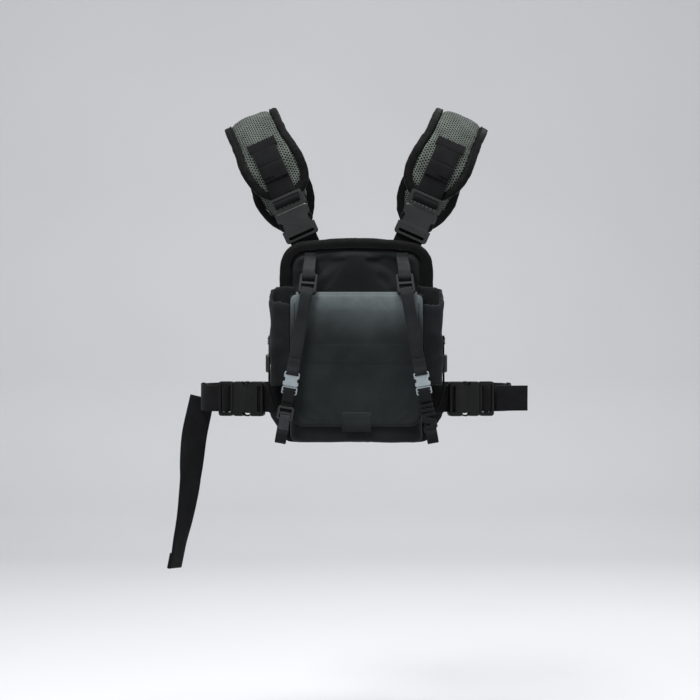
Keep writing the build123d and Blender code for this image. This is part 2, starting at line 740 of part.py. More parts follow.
YOKE_BACK = YOKE_BODY + YOKE_T
on_rear, _ = shifted([Vector(*c) for c in ARCH_PATH[-2:]], [], WEB_LOW)
REAR_PATH = [
    on_rear[0] + (on_rear[1] - on_rear[0]) * 0.35,
    on_rear[1],
    (YOKE_BACK, -44),
    (YOKE_BACK, -96),
]
rear_webbing = strip(ARCH, REAR_PATH, [80, 60], 0, WEB_T, WEB_W)
save_pair(rear_webbing, "rear_webbing")

# ---------------------------------------------------------------- binocular tethers
TETHER_X = 43.5
TETHER_LEAN = 10.0
LOCK_MID = Vector(84.0, 50.5)  # ladder lock's centre: in front of the chest plane, and up
LOCK_SLOPE = 53.5
LOCK_L = 23.0
UPPER = Plane(origin=(TETHER_X, 0, 0), x_dir=(0, -1, 0), z_dir=(-1, 0, 0))
lock_run = Vector(cos(radians(LOCK_SLOPE)), -sin(radians(LOCK_SLOPE)))
lock_out = Vector(-lock_run.Y, lock_run.X)


def at_lock(a, n):
    """A point along and out from the ladder lock, in front of the chest plane and up."""
    point = LOCK_MID + lock_run * a + lock_out * n
    return (point.X, point.Y)


UPPER_PATH = [
    (PANEL_FRONT + 0.3, 82.3),
    (PANEL_FRONT + 1.6, 76.5),
    (50, 70.5),
    at_lock(-14, 2.4),
    at_lock(-5.8, 2.4),
    at_lock(-5.8, -2.2),
]
tether_upper = strip(UPPER, UPPER_PATH, [5, 80, 10, 1.4], 0, CORD_T, CORD_W)
save_pair(tether_upper, "tether_upper_strap")
lock_plane = Plane(
    origin=(TETHER_X + 0.6, -LOCK_MID.X, LOCK_MID.Y),
    x_dir=(0.09, -lock_run.X, lock_run.Y),
    z_dir=(0, -lock_out.X, lock_out.Y),
)
save_pair(ladder_lock(lock_plane, CORD_W, LOCK_L, 3.4), "tether_ladder_lock")

lean_up = Vector(-sin(radians(TETHER_LEAN)), 0, cos(radians(TETHER_LEAN)))
LOWER = Plane(origin=(TETHER_X + 1.2, 0, 44), x_dir=(0, -1, 0), z_dir=Vector(0, -1, 0).cross(lean_up))
MINI_V = -87.5  # the mini buckle's mouth
MINI_U = 95.4
socket_end = MINI_V + MINI.body
low_cos = cos(radians(TETHER_LEAN))


def beside_lock(a, n):
    """A point beside the ladder lock, as sketch coordinates of the lower strap's leaning plane."""
    point = at_lock(a, n)
    return (point[0], (point[1] - 44) / low_cos)


lower_strap = strip(
    LOWER,
    [
        beside_lock(7.4, -2.6),
        beside_lock(7.4, 2.8),
        beside_lock(14.0, 2.8),
        (94.9, -14),
        (94.9, -50),
        (MINI_U - 0.7, socket_end - 0.2),
    ],
    [1.2, 4, 30, 200],
    0,
    CORD_T,
    CORD_W,
)
save_pair(lower_strap, "tether_lower_strap")
mini_plane = Plane(origin=LOWER.from_local_coords((MINI_U, MINI_V, 0)), x_dir=-lean_up, z_dir=(0, -1, 0))
save_pair(buckle_socket(MINI, mini_plane), "tether_socket")
save_pair(buckle_plug(MINI, mini_plane), "tether_plug")

# the binocular's own loop: a doubled webbing, held together by a slide on the wearer's right
LOOP_TOP = MINI_V - MINI.base * 0.72
with BuildPart() as bino_loop:
    with BuildSketch(LOWER):
        band(
            [
                (MINI_U - 1.6, LOOP_TOP),
                (MINI_U - 1.6, LOOP_TOP - 27),
                (MINI_U - 6.0, LOOP_TOP - 38),
                (MINI_U - 6.0, LOOP_TOP - 47),
                (MINI_U + 6.0, LOOP_TOP - 47),
                (MINI_U + 6.0, LOOP_TOP - 38),
                (MINI_U + 1.6, LOOP_TOP - 27),
                (MINI_U + 1.6, LOOP_TOP),
            ],
            [14, 5, 4, 4, 5, 14],
            0,
            CORD_T,
        )
    extrude(amount=(CORD_W - 1) / 2, both=True)
save_pair(bino_loop.part, "tether_loop")
SLIDE_L = 12.0
slide_plane = Plane(origin=LOWER.from_local_coords((MINI_U, LOOP_TOP - 19.5, 0)), x_dir=lean_up, z_dir=(0, -1, 0))
with BuildPart() as bino_slide:
    with BuildSketch(slide_plane.offset(-3.6)):
        RectangleRounded(SLIDE_L, CORD_W + 3.6, 2.0)
    extrude(amount=7.2)
    with BuildSketch(Plane(origin=slide_plane.origin - lean_up * 7, x_dir=slide_plane.y_dir, z_dir=lean_up)):
        Rectangle(CORD_W - 0.2, 5.4)
    extrude(amount=14, mode=Mode.SUBTRACT)
    with BuildSketch(slide_plane):
        with Locations((SLIDE_L * 0.22, 0), (-SLIDE_L * 0.22, 0)):
            Rectangle(3.2, CORD_W - 0.2)
    extrude(amount=4, mode=Mode.SUBTRACT)
save(mirror(bino_slide.part, about=Plane.YZ), "right_tether_slide")
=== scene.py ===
"""Binocular harness pack: fabric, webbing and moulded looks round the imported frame.

Metres in the frame's axes: +X is the wearer's left, +Y points into the chest, +Z is up.
"""

import json
import math

import bmesh
import bpy
import numpy as np
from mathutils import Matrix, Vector, noise

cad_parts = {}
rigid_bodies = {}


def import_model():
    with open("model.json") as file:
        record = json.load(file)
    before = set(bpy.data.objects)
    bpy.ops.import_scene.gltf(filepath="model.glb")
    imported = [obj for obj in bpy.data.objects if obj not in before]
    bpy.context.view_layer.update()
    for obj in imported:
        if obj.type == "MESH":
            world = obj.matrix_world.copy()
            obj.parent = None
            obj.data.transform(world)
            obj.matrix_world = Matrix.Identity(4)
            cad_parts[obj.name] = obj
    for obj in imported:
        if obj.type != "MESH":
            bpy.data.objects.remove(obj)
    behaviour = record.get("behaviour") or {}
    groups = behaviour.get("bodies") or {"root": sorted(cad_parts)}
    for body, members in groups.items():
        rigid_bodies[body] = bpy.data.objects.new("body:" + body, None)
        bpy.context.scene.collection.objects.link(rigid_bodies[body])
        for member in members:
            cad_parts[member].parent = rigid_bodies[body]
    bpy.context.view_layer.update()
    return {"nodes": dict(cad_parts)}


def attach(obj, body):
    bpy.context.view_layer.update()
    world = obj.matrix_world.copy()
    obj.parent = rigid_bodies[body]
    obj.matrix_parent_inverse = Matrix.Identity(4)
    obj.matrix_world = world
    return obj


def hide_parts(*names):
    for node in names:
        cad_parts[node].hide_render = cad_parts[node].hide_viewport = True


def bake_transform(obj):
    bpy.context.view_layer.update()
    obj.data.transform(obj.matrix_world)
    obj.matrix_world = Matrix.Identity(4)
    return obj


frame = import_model()
nodes = frame["nodes"]

MM = 0.001
SIDES = (("left", 1), ("right", -1))

# ---- dimensions, in millimetres, as in the frame
LEAN = math.radians(24.0)  # shoulder straps lean outward
SHOULDER = (52.0, 0.0, 100.5)  # where a shoulder buckle's axis crosses the panel's top edge
TIP = math.radians(7.0)  # a shoulder buckle's upper end tips away from the chest
PAD_FACE = 9.8  # a shoulder pad's outer face over its inner face
WEB_W = 25.0
WEB_T = 1.8
CORD_W = 11.0
CORD_T = 1.4
FOLD_T = 1.2  # tether webbing where it is folded back or wrapped
BELT_Z = -56.0
BELT_YAW = math.radians(14.0)
TORSO_SIDE = 152.0
YOKE_BACK = 212.0
FOLD_Z = -13.5


# ---- materials
class Shader:
    """A material under construction, with short ways to add and link its nodes."""

    def __init__(self, name, roughness=0.9, sheen=0.0):
        self.material = bpy.data.materials.new(name)
        self.material.use_nodes = True
        self.tree = self.material.node_tree
        self.surface = self.tree.nodes["Principled BSDF"]
        self.set("Roughness", roughness)
        self.set("Sheen Weight", sheen)
        self.set("Sheen Roughness", 0.5)
        self.set("Specular IOR Level", 0.05)

    def set(self, key, value):
        self.surface.inputs[key].default_value = value

    def add(self, kind, inputs=(), **settings):
        made = self.tree.nodes.new(kind)
        for key, value in settings.items():
            setattr(made, key, value)
        for key, value in dict(inputs).items():
            if isinstance(value, bpy.types.NodeSocket):
                self.tree.links.new(value, made.inputs[key])
            else:
                made.inputs[key].default_value = value
        return made

    def math(self, operation, a, b=0.0):
        return self.add("ShaderNodeMath", {0: a, 1: b}, operation=operation).outputs[0]

    def times(self, a, b):
        return self.math("MULTIPLY", a, b)

    def plus(self, a, b):
        return self.math("ADD", a, b)

    def lit(self, colour, light):
        """A colour made lighter or darker by a factor."""
        grey = self.add("ShaderNodeCombineColor", {0: light, 1: light, 2: light}).outputs[0]
        return self.mix(1.0, colour, grey, "MULTIPLY")

    def vector(self, operation, a, b=(0, 0, 0)):
        return self.add("ShaderNodeVectorMath", {0: a, 1: b}, operation=operation).outputs

    def uv(self):
        """Surface coordinates in millimetres."""
        return self.vector("MULTIPLY", self.add("ShaderNodeUVMap").outputs[0], (1000, 1000, 1000))[0]

    def noise(self, scale, detail=4.0, roughness=0.5, vector=None):
        """Noise over the object's own space, with scale in features per metre."""
        if vector is None:
            vector = self.add("ShaderNodeTexCoord").outputs["Object"]
        inputs = {"Vector": vector, "Scale": scale, "Detail": detail, "Roughness": roughness}
        return self.add("ShaderNodeTexNoise", inputs).outputs["Fac"]

    def ramp(self, factor, low, high, start=0.0, end=1.0):
        made = self.add("ShaderNodeValToRGB", {"Fac": factor})
        stops = made.color_ramp.elements
        stops[0].position, stops[1].position = start, end
        stops[0].color, stops[1].color = (*low, 1), (*high, 1)
        return made.outputs["Color"]

    def dyed(self, factor, colour, darker, lighter, start=0.3, end=0.75):
        """The colour, unevenly darker and lighter."""
        low, high = (tuple(min(c * by, 1.0) for c in colour) for by in (darker, lighter))
        return self.ramp(factor, low, high, start, end)

    def mix(self, factor, a, b, blend="MIX"):
        made = self.add("ShaderNodeMix", data_type="RGBA", blend_type=blend)
        for socket, value in ((made.inputs[0], factor), (made.inputs[6], a), (made.inputs[7], b)):
            if isinstance(value, bpy.types.NodeSocket):
                self.tree.links.new(value, socket)
            else:
                socket.default_value = value
        return made.outputs[2]

    def finish(self, colour, height=None, strength=0.5, depth=0.3, roughness=None):
        """Links the colour, and a bump whose depth is in millimetres."""
        self.tree.links.new(colour, self.surface.inputs["Base Color"])
        if height is not None:
            settings = {"Height": height, "Strength": strength, "Distance": depth * MM}
            bump = self.add("ShaderNodeBump", settings)
            self.tree.links.new(bump.outputs[0], self.surface.inputs["Normal"])
        if roughness is not None:
            self.tree.links.new(roughness, self.surface.inputs["Roughness"])
        return self.material


def threads(sh, pitch_u, pitch_v):
    """Height of a plain weave: warp and weft swap over and under at each crossing."""
    parts = sh.add("ShaderNodeSeparateXYZ", {0: sh.uv()})
    turn_u = sh.times(parts.outputs[0], math.pi / pitch_u)
    turn_v = sh.times(parts.outputs[1], math.pi / pitch_v)
    crossing = sh.times(sh.math("SINE", turn_u), sh.math("SINE", turn_v))
    ribs = sh.math("ABSOLUTE", sh.math("COSINE", turn_v))
    return sh.plus(sh.times(crossing, 0.5), sh.times(ribs, 0.25))


def woven(name, colour, pitch=0.9, weave_shade=0.35, sheen=0.15, roughness=0.85, bump=0.5, painted_top_light=None):
    """Coated nylon cloth with uneven dye and painted weave shade; the painted highlight, if given, is the
    heights between which the cloth is painted lighter towards the top, and by how much.
    """
    sh = Shader(name, roughness, sheen)
    weave = threads(sh, pitch, pitch)
    cloudy = sh.noise(22.0, 6.0, 0.6)
    base = sh.dyed(cloudy, colour, 0.72, 1.3, end=0.7)
    # painted shade: the colour is darkened where the weave's threads dip and lightened on their crowns
    shaded_colour = sh.lit(base, sh.plus(sh.times(weave, weave_shade), 1.0))
    # painted highlight: the cloth is painted lighter towards the top, standing in for light from above on the
    # lid's rounded upper end
    if painted_top_light:
        low, high, top_light_gain = painted_top_light
        spot = sh.add("ShaderNodeSeparateXYZ", {0: sh.add("ShaderNodeTexCoord").outputs["Object"]})
        rise = sh.add("ShaderNodeMapRange", {0: spot.outputs[2], 1: low, 2: high}).outputs[0]
        shaded_colour = sh.lit(shaded_colour, sh.plus(sh.times(sh.math("POWER", rise, 1.9), top_light_gain - 1), 1.0))
    wear = sh.noise(140.0, 3.0, 0.7)
    rough = sh.plus(sh.times(wear, 0.18), roughness - 0.09)
    height = sh.plus(weave, sh.times(wear, 0.6))
    return sh.finish(shaded_colour, height, bump, 0.22, rough)


def webbing(name, colour, rib=1.5, sheen=0.1):
    """Woven webbing: ribs across the strap, a twill line along it and a smoother selvedge."""
    sh = Shader(name, 0.78, sheen)
    parts = sh.add("ShaderNodeSeparateXYZ", {0: sh.uv()})
    along, across = parts.outputs[0], parts.outputs[1]
    slant = sh.plus(along, sh.times(sh.math("PINGPONG", across, 2.2), 0.55))
    ribs = sh.math("ABSOLUTE", sh.math("SINE", sh.times(slant, math.pi / rib)))
    cords = sh.math("ABSOLUTE", sh.math("SINE", sh.times(across, math.pi / 1.1)))
    height = sh.plus(sh.times(ribs, 0.7), sh.times(cords, 0.35))
    cloudy = sh.noise(60.0, 4.0, 0.6)
    base = sh.dyed(cloudy, colour, 0.8, 1.35, end=0.72)
    # painted shade: the colour is darkened in the grooves between ribs and cords and lightened on their
    # crowns
    shaded_colour = sh.lit(base, sh.plus(sh.times(height, 0.55), 0.62))
    return sh.finish(shaded_colour, height, 0.65, 0.3)


ROOT_3 = 1.732


def spacer_mesh(name, colour, hole, pitch=3.4, radius=0.29, sheen=0.2):
    """Air mesh: rows of round holes, each row half a pitch along from the last."""
    sh = Shader(name, 0.9, sheen)
    uv = sh.uv()

    def lattice(shift):
        moved = sh.vector("ADD", uv, shift)[0]
        cell = sh.vector("MULTIPLY", moved, (1 / pitch, 1 / (pitch * ROOT_3), 0))[0]
        centred = sh.vector("ADD", sh.vector("FRACTION", cell)[0], (-0.5, -0.5, 0))[0]
        return sh.vector("LENGTH", sh.vector("MULTIPLY", centred, (1, ROOT_3, 0))[0])["Value"]

    near = sh.math("MINIMUM", lattice((0, 0, 0)), lattice((pitch / 2, pitch * ROOT_3 / 2, 0)))
    solid = sh.add("ShaderNodeMapRange", {0: near, 1: radius - 0.06, 2: radius + 0.07}).outputs[0]
    cloudy = sh.noise(45.0, 5.0, 0.65)
    yarn = sh.dyed(cloudy, colour, 0.7, 1.3, end=0.7)
    # the holes take a near-black colour: partly painted shade inside each opening, partly the dark layer
    # beneath
    tint = sh.mix(solid, (*hole, 1), yarn)
    fuzz = sh.noise(1500.0, 2.0, 0.5)
    height = sh.plus(solid, sh.times(fuzz, 0.25))
    return sh.finish(tint, height, 0.8, 0.7)


def tape(name, colour, rib=1.3):
    """Grosgrain binding tape, with a slight shine where it turns over an edge."""
    sh = Shader(name, 0.7, 0.03)
    weave = threads(sh, rib * 3, rib)
    cloudy = sh.noise(35.0, 5.0, 0.6)
    base = sh.dyed(cloudy, colour, 0.75, 1.4)
    wear = sh.noise(400.0, 2.0, 0.6)
    rough = sh.plus(sh.times(wear, 0.2), 0.6)
    height = sh.plus(weave, sh.times(wear, 0.5))
    return sh.finish(base, height, 0.5, 0.25, rough)


def moulded(name, colour, roughness=0.42, shine=0.5):
    """Injection-moulded plastic: fine spark texture, scuffs and a satin skin."""
    sh = Shader(name, roughness)
    sh.set("Specular IOR Level", shine)
    grain = sh.noise(2600.0, 2.0, 0.5)
    scuffs = sh.noise(90.0, 8.0, 0.75)
    base = sh.dyed(scuffs, colour, 0.88, 1.18, 0.35, 0.75)
    rough = sh.plus(sh.times(scuffs, 0.3), roughness - 0.15)
    return sh.finish(base, grain, 0.18, 0.08, rough)


def pile(name, colour):
    """Hook-and-loop tape: a matt felted pile."""
    sh = Shader(name, 0.95, 0.05)
    fuzz = sh.noise(1700.0, 6.0, 0.8)
    tufts = sh.noise(500.0, 4.0, 0.7)
    base = sh.dyed(fuzz, colour, 0.5, 1.9)
    return sh.finish(base, sh.plus(fuzz, tufts), 0.9, 0.8)


def metal(name, colour):
    sh = Shader(name, 0.35)
    sh.set("Metallic", 1.0)
    streaks = sh.noise(900.0, 3.0, 0.5)
    return sh.finish(sh.dyed(streaks, colour, 0.85, 1.1, 0.0, 1.0), streaks, 0.1, 0.05)


BINDING = tape("binding_tape", (0.0038, 0.0039, 0.0041))
PANEL_CLOTH = woven("panel_cloth", (0.0130, 0.0140, 0.0145), sheen=0.06)
POUCH_CLOTH = woven("pouch_cloth", (0.0110, 0.0125, 0.0130), sheen=0.05)
# the lid's cloth carries a painted highlight, up to 6.8 times lighter towards its top edge
LID_CLOTH = woven("lid_cloth", (0.0135, 0.0160, 0.0164), sheen=0.06, painted_top_light=(-0.006, 0.041, 6.8))
AIR_MESH = spacer_mesh("air_mesh", (0.088, 0.101, 0.090), (0.002, 0.002, 0.002), 2.6, 0.31, 0.06)
BACK_MESH = spacer_mesh("back_air_mesh", (0.020, 0.022, 0.022), (0.003, 0.003, 0.003), sheen=0.05)
BLACK_WEB = webbing("black_webbing", (0.0065, 0.0066, 0.0072), sheen=0.03)
TETHER_WEB = webbing("tether_webbing", (0.0135, 0.0150, 0.0155), rib=1.1, sheen=0.05)
TAIL_WEB = webbing("tail_webbing", (0.026, 0.029, 0.030), rib=1.1, sheen=0.05)
LOOP_WEB = webbing("loop_webbing", (0.0090, 0.0095, 0.0100), rib=1.1, sheen=0.04)
HOOK_LOOP = pile("hook_and_loop", (0.0050, 0.0050, 0.0055))
DARK_PLASTIC = moulded("dark_acetal", (0.0095, 0.0100, 0.0103), 0.46)
# the same dark acetal painted darker as shade, for the belt buckles and the plugs' prongs
SHADED_DARK_PLASTIC = moulded("shaded_dark_acetal", (0.0035, 0.0037, 0.0038), 0.55, 0.2)
LOCK_PLASTIC = moulded("lock_acetal", (0.0105, 0.0115, 0.0120), 0.65, 0.15)
GREY_PLASTIC = moulded("grey_acetal", (0.25, 0.285, 0.305), 0.4)
THREAD = woven("dark_thread", (0.010, 0.010, 0.011), pitch=0.3, bump=0.2, sheen=0.0)
GREY_THREAD = woven("grey_thread", (0.022, 0.024, 0.025), pitch=0.3, bump=0.2, sheen=0.0)
SHEET_PLASTIC = moulded("stiffener_sheet", (0.08, 0.08, 0.085))
STEEL = metal("magnet_steel", (0.5, 0.5, 0.52))


# ---- mesh helpers
def linked(name, data):
    """A new object in the scene."""
    made = bpy.data.objects.new(name, data)
    bpy.context.collection.objects.link(made)
    return made


def soft_shaded(mesh):
    mesh.polygons.foreach_set("use_smooth", [True] * len(mesh.polygons))


def new_object(name, verts, faces, material, uvs=None, side=1):
    """A mesh piece from points in millimetres; side -1 mirrors it to the wearer's right."""
    if side < 0:
        verts = [(-v[0], v[1], v[2]) for v in verts]
        faces = [tuple(reversed(f)) for f in faces]
    mesh = bpy.data.meshes.new(name)
    mesh.from_pydata([Vector(v) * MM for v in verts], [], faces)
    mesh.materials.append(material)
    layer = mesh.uv_layers.new(name="UVMap")
    if uvs is not None:
        for loop in mesh.loops:
            layer.data[loop.index].uv = uvs[loop.vertex_index]
    soft_shaded(mesh)
    return linked(name, mesh)


def rounded(points, radii, step=1.5):
    """A polyline of points in a plane with its corners rounded by arcs, evenly dense."""
    points = [Vector(p[:2]) for p in points]
    line = [points[0]]
    for i, radius in enumerate(radii, 1):
        before, corner, after = points[i - 1 : i + 2]
        d1, d2 = (corner - before).normalized(), (after - corner).normalized()
        turn = math.atan2(d1.x * d2.y - d1.y * d2.x, d1.dot(d2))
        if abs(turn) < 1e-4:
            continue
        reach = radius * math.tan(abs(turn) / 2)
        side = 1 if turn > 0 else -1
        centre = corner - d1 * reach + Vector((-d1.y, d1.x)) * radius * side
        spoke = corner - d1 * reach - centre
        count = max(int(abs(turn) * radius / step), 3)
        for k in range(count + 1):
            a = turn * k / count
            cos, sin = math.cos(a), math.sin(a)
            line.append(centre + Vector((spoke.x * cos - spoke.y * sin, spoke.x * sin + spoke.y * cos)))
    line.append(points[-1])
    dense = [line[0]]
    for a, b in zip(line, line[1:]):
        count = max(int((b - a).length / step), 1)
        dense += [a.lerp(b, k / count) for k in range(1, count + 1)]
    return dense


def tangents(line):
    ends = [line[0]] + list(line) + [line[-1]]
    return [(c - a).normalized() for a, c in zip(ends, ends[2:])]


def moved_left(line, distance):
    """A dense plane polyline, moved to its left."""
    return [p + Vector((-d.y, d.x)) * distance for p, d in zip(line, tangents(line))]


class Flat:
    """A plane that straps lie in: x and y span it, and z is across the strap."""

    def __init__(self, origin, x, y):
        self.origin, self.x, self.y = Vector(origin), Vector(x), Vector(y)
        self.z = self.x.cross(self.y)

    def point(self, a, b, c=0.0):
        return self.origin + self.x * a + self.y * b + self.z * c

    def strap(self, name, line, *sizes):
        """Webbing along a line in the plane; the sizes are ribbon's own."""
        return ribbon(name, [self.point(*p) for p in line], self.z, *sizes)

    def local(self, point):
        away = Vector(point) - self.origin
        return Vector((away.dot(self.x), away.dot(self.y), away.dot(self.z)))


def ribbon(name, path, across, width, thick, material, side=1, waver=0.0, seed=0.0):
    """Flat webbing along 3-D points, width spread along across, with soft selvedges and closed ends."""
    half_w, half_t = width / 2, thick / 2
    soft = min(half_t * 0.8, half_w)
    lanes = [-half_w + soft, -half_w * 0.5, 0, half_w * 0.5, half_w - soft]
    inner, low = half_w - soft * 0.25, half_t * 0.7
    ring = [(w, half_t) for w in lanes] + [(inner, low), (half_w, 0), (inner, -low)]
    ring += [(w, -half_t) for w in reversed(lanes)] + [(-inner, -low), (-half_w, 0), (-inner, low)]
    count = len(ring)
    verts, uvs, faces = [], [], []
    length = 0.0
    for i, (point, way) in enumerate(zip(path, tangents(path))):
        if i:
            length += (point - path[i - 1]).length
        wide = across[i] if isinstance(across, list) else across
        wide = (wide - way * wide.dot(way)).normalized()
        up = way.cross(wide)
        for w, t in ring:
            lift = waver * noise.noise(Vector((length * 0.035 + seed, w * 0.03, seed)))
            cup = waver * 0.25 * (w / half_w) ** 2
            verts.append(point + wide * w + up * (t + lift + cup))
            uvs.append((length * MM, (w + (0.3 if t < 0 else 0)) * MM))
    for i in range(len(path) - 1):
        for k in range(count):
            a, b = i * count + k, i * count + (k + 1) % count
            faces.append((a, a + count, b + count, b))
    faces.append(tuple(range(count)))
    last = (len(path) - 1) * count
    faces.append(tuple(last + k for k in reversed(range(count))))
    return new_object(name, verts, faces, material, uvs, side)


def stitches(name, runs, material, side=1, pitch=2.8, radius=0.42):
    """Sewing thread: a short raised bead for each stitch along each run of 3-D points."""
    verts, faces = [], []
    for run in runs:
        spent, due = 0.0, pitch / 2
        for a, b in zip(run, run[1:]):
            span = (b - a).length
            if span < 1e-6:
                continue
            way = (b - a) / span
            side_way = way.orthogonal().normalized()
            up = way.cross(side_way)
            while due <= spent + span:
                centre = a + way * (due - spent)
                base = len(verts)
                reach = pitch * 0.38
                for s, r in ((-reach, 0.25), (-reach * 0.5, 0.9), (reach * 0.5, 0.9), (reach, 0.25)):
                    for k in range(6):
                        angle = math.tau * k / 6
                        spoke = side_way * math.cos(angle) + up * math.sin(angle)
                        verts.append(centre + way * s + spoke * radius * r)
                for j in range(3):
                    for k in range(6):
                        p, q = base + j * 6 + k, base + j * 6 + (k + 1) % 6
                        faces.append((p, q, q + 6, p + 6))
                faces.append(tuple(base + k for k in reversed(range(6))))
                faces.append(tuple(base + 18 + k for k in range(6)))
                due += pitch
            spent += span
    return new_object(name, verts, faces, material, None, side)


def box_of(a0, b0, a1, b1):
    """A rectangle's corners, back to the first."""
    return [(a0, b0), (a0, b1), (a1, b1), (a1, b0), (a0, b0)]


def baked(made):
    """Applies every modifier."""
    deps = bpy.context.evaluated_depsgraph_get()
    mesh = bpy.data.meshes.new_from_object(made.evaluated_get(deps), depsgraph=deps)
    made.modifiers.clear()
    made.data = mesh
    return made


def points_of(made):
    flat = np.empty(len(made.data.vertices) * 3)
    made.data.vertices.foreach_get("co", flat)
    return flat.reshape(-1, 3)


def put_points(made, points):
    made.data.vertices.foreach_set("co", points.reshape(-1))
    made.data.update()


def normals_of(made):
    flat = np.empty(len(made.data.vertices) * 3)
    made.data.vertex_normals.foreach_get("vector", flat)
    return flat.reshape(-1, 3)


def smoothed(made, rounds):
    """Laplacian smoothing that keeps the volume roughly as it was."""
    mesh = made.data
    edges = np.empty(len(mesh.edges) * 2, dtype=np.int64)
    mesh.edges.foreach_get("vertices", edges)
    a, b = edges.reshape(-1, 2).T
    points = points_of(made)
    links = np.bincount(np.concatenate([a, b]), minlength=len(points))[:, None]
    for k in range(rounds * 2):
        total = np.zeros_like(points)
        np.add.at(total, a, points[b])
        np.add.at(total, b, points[a])
        weight = 0.5 if k % 2 == 0 else -0.52 * 0.9
        points = points + (total / np.maximum(links, 1) - points) * weight
    put_points(made, points)


def drop_cavities(build):
    """Deletes the inner shells, whose faces enclose a negative volume."""
    left = set(build.verts)
    while left:
        shell, front = set(), [left.pop()]
        while front:
            vert = front.pop()
            shell.add(vert)
            for edge in vert.link_edges:
                other = edge.other_vert(vert)
                if other in left:
                    left.discard(other)
                    front.append(other)
        faces = {face for vert in shell for face in vert.link_faces}
        volume = sum(f.normal.dot(f.calc_center_median()) * f.calc_area() for f in faces)
        if volume < 0:
            bmesh.ops.delete(build, geom=list(shell), context="VERTS")


def copied(name, sources, clean):
    """A new object from copies of these CAD nodes, with doubled points merged and then cleaned."""
    build = bmesh.new()
    for source in sources:
        build.from_mesh(nodes[source].data)
    bmesh.ops.remove_doubles(build, verts=build.verts, dist=1e-6)
    clean(build)
    mesh = bpy.data.meshes.new(name)
    build.to_mesh(mesh)
    build.free()
    return linked(name, mesh)


def dress(made, material):
    """The piece keeps its mesh and gets only this material."""
    made.data.materials.clear()
    made.data.materials.append(material)


def remeshed(name, sources, voxel, material, shrink=0.0, rounds=3):
    """A new closed piece round copies of these CAD nodes, with even faces and soft edges."""
    made = copied(name, sources, drop_cavities)
    grid = made.modifiers.new("grid", "REMESH")
    grid.mode = "VOXEL"
    grid.voxel_size = voxel * MM
    baked(made)
    smoothed(made, rounds)
    if shrink:
        put_points(made, points_of(made) - normals_of(made) * shrink * MM)
    dress(made, material)
    soft_shaded(made.data)
    return made


def held(points, front, back):
    """The points, with their depth in metres kept between two limits."""
    return np.column_stack([points[:, 0], np.clip(points[:, 1], front, back), points[:, 2]])


def box_uv(made):
    """Surface coordinates in metres, projected along each face's main direction."""
    mesh = made.data
    layer = mesh.uv_layers.get("UVMap") or mesh.uv_layers.new(name="UVMap")
    points = points_of(made)
    uvs = np.empty((len(mesh.loops), 2))
    for face in mesh.polygons:
        main = max(range(3), key=lambda k: abs(face.normal[k]))
        u, v = ((1, 2), (0, 2), (0, 1))[main]
        for loop in face.loop_indices:
            point = points[mesh.loops[loop].vertex_index]
            uvs[loop] = point[u], point[v]
    layer.data.foreach_set("uv", uvs.reshape(-1))
    return made


def subdivided(made, levels=1):
    rounder = made.modifiers.new("rounder", "SUBSURF")
    rounder.levels = rounder.render_levels = levels
    return baked(made)


def wrinkled(made, depth, size, where=None, seed=0.0, stretch=(1, 1, 1), sunk=0.7):
    """Creases: ridged noise along the normals, depth and size in millimetres, weighted by where."""
    points = points_of(made)
    normals = normals_of(made)
    scale = 1 / (size * MM)
    for i, point in enumerate(points):
        spot = Vector((point[0] * stretch[0], point[1] * stretch[1], point[2] * stretch[2])) * scale
        spot += Vector((seed, seed * 1.7, -seed))
        ridge = 1 - 2 * abs(noise.noise(spot)) + 0.6 * noise.noise(spot * 2.3)
        weight = 1.0 if where is None else where(point)
        points[i] = point + normals[i] * (ridge - sunk) * depth * MM * weight
    put_points(made, points)
    return made


# ---- cloth simulation for the padded pieces
waiting = []


def puffed(made, pinned, cap, pressure=4.0, loose=0.0, keep=None):
    """Queues a padded piece: pinned and keep take points in metres; cap is in millimetres."""
    start = points_of(made)
    group = made.vertex_groups.new(name="pin")
    group.add([int(i) for i in np.nonzero(pinned(start))[0]], 1.0, "REPLACE")
    cloth = made.modifiers.new("cloth", "CLOTH").settings
    cloth.vertex_group_mass = "pin"
    cloth.use_pressure = True
    cloth.uniform_pressure_force = pressure
    cloth.shrink_min = -loose
    cloth.mass = 0.2
    cloth.quality = 5
    cloth.bending_stiffness = 0.3
    cloth.effector_weights.gravity = 0.0
    waiting.append((made, start, cap, keep))
    return made


def run_cloth():
    """Steps every queued piece together, then fixes the result in its mesh."""
    for step in range(1, 21):
        bpy.context.scene.frame_set(step)
    for made, start, cap, keep in waiting:
        baked(made)
        points = points_of(made)
        shift = points - start
        reach = np.linalg.norm(shift, axis=1, keepdims=True)
        points = start + shift * np.minimum(1, cap * MM / np.maximum(reach, 1e-9))
        put_points(made, points)
        smoothed(made, 1)
        subdivided(made)
        if keep is not None:
            put_points(made, keep(points_of(made)))
        soft_shaded(made.data)
    bpy.context.scene.frame_set(1)


# ---- placing pieces
def place(made, body, slot, *stands_for):
    """The piece rides on a body and stands for CAD nodes, which it hides; slot is not used."""
    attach(made, body)
    if stands_for:
        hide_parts(*stands_for)
    return made


def on_pack(made, slot, *stands_for):
    return place(made, "pack", slot, *stands_for)


def crisp(name, source, material, edge=0.4):
    """A copy of a moulded CAD node with its edges rounded over."""

    def merge_facets(build):
        bmesh.ops.dissolve_limit(build, angle_limit=math.radians(2), verts=build.verts, edges=build.edges)

    made = copied(name, [source], merge_facets)
    dress(made, material)
    soft_shaded(made.data)
    bevel = made.modifiers.new("edge", "BEVEL")
    bevel.width = edge * MM
    bevel.segments = 2
    bevel.limit_method = "ANGLE"
    bevel.angle_limit = math.radians(35)
    bevel.harden_normals = True
    return baked(made)


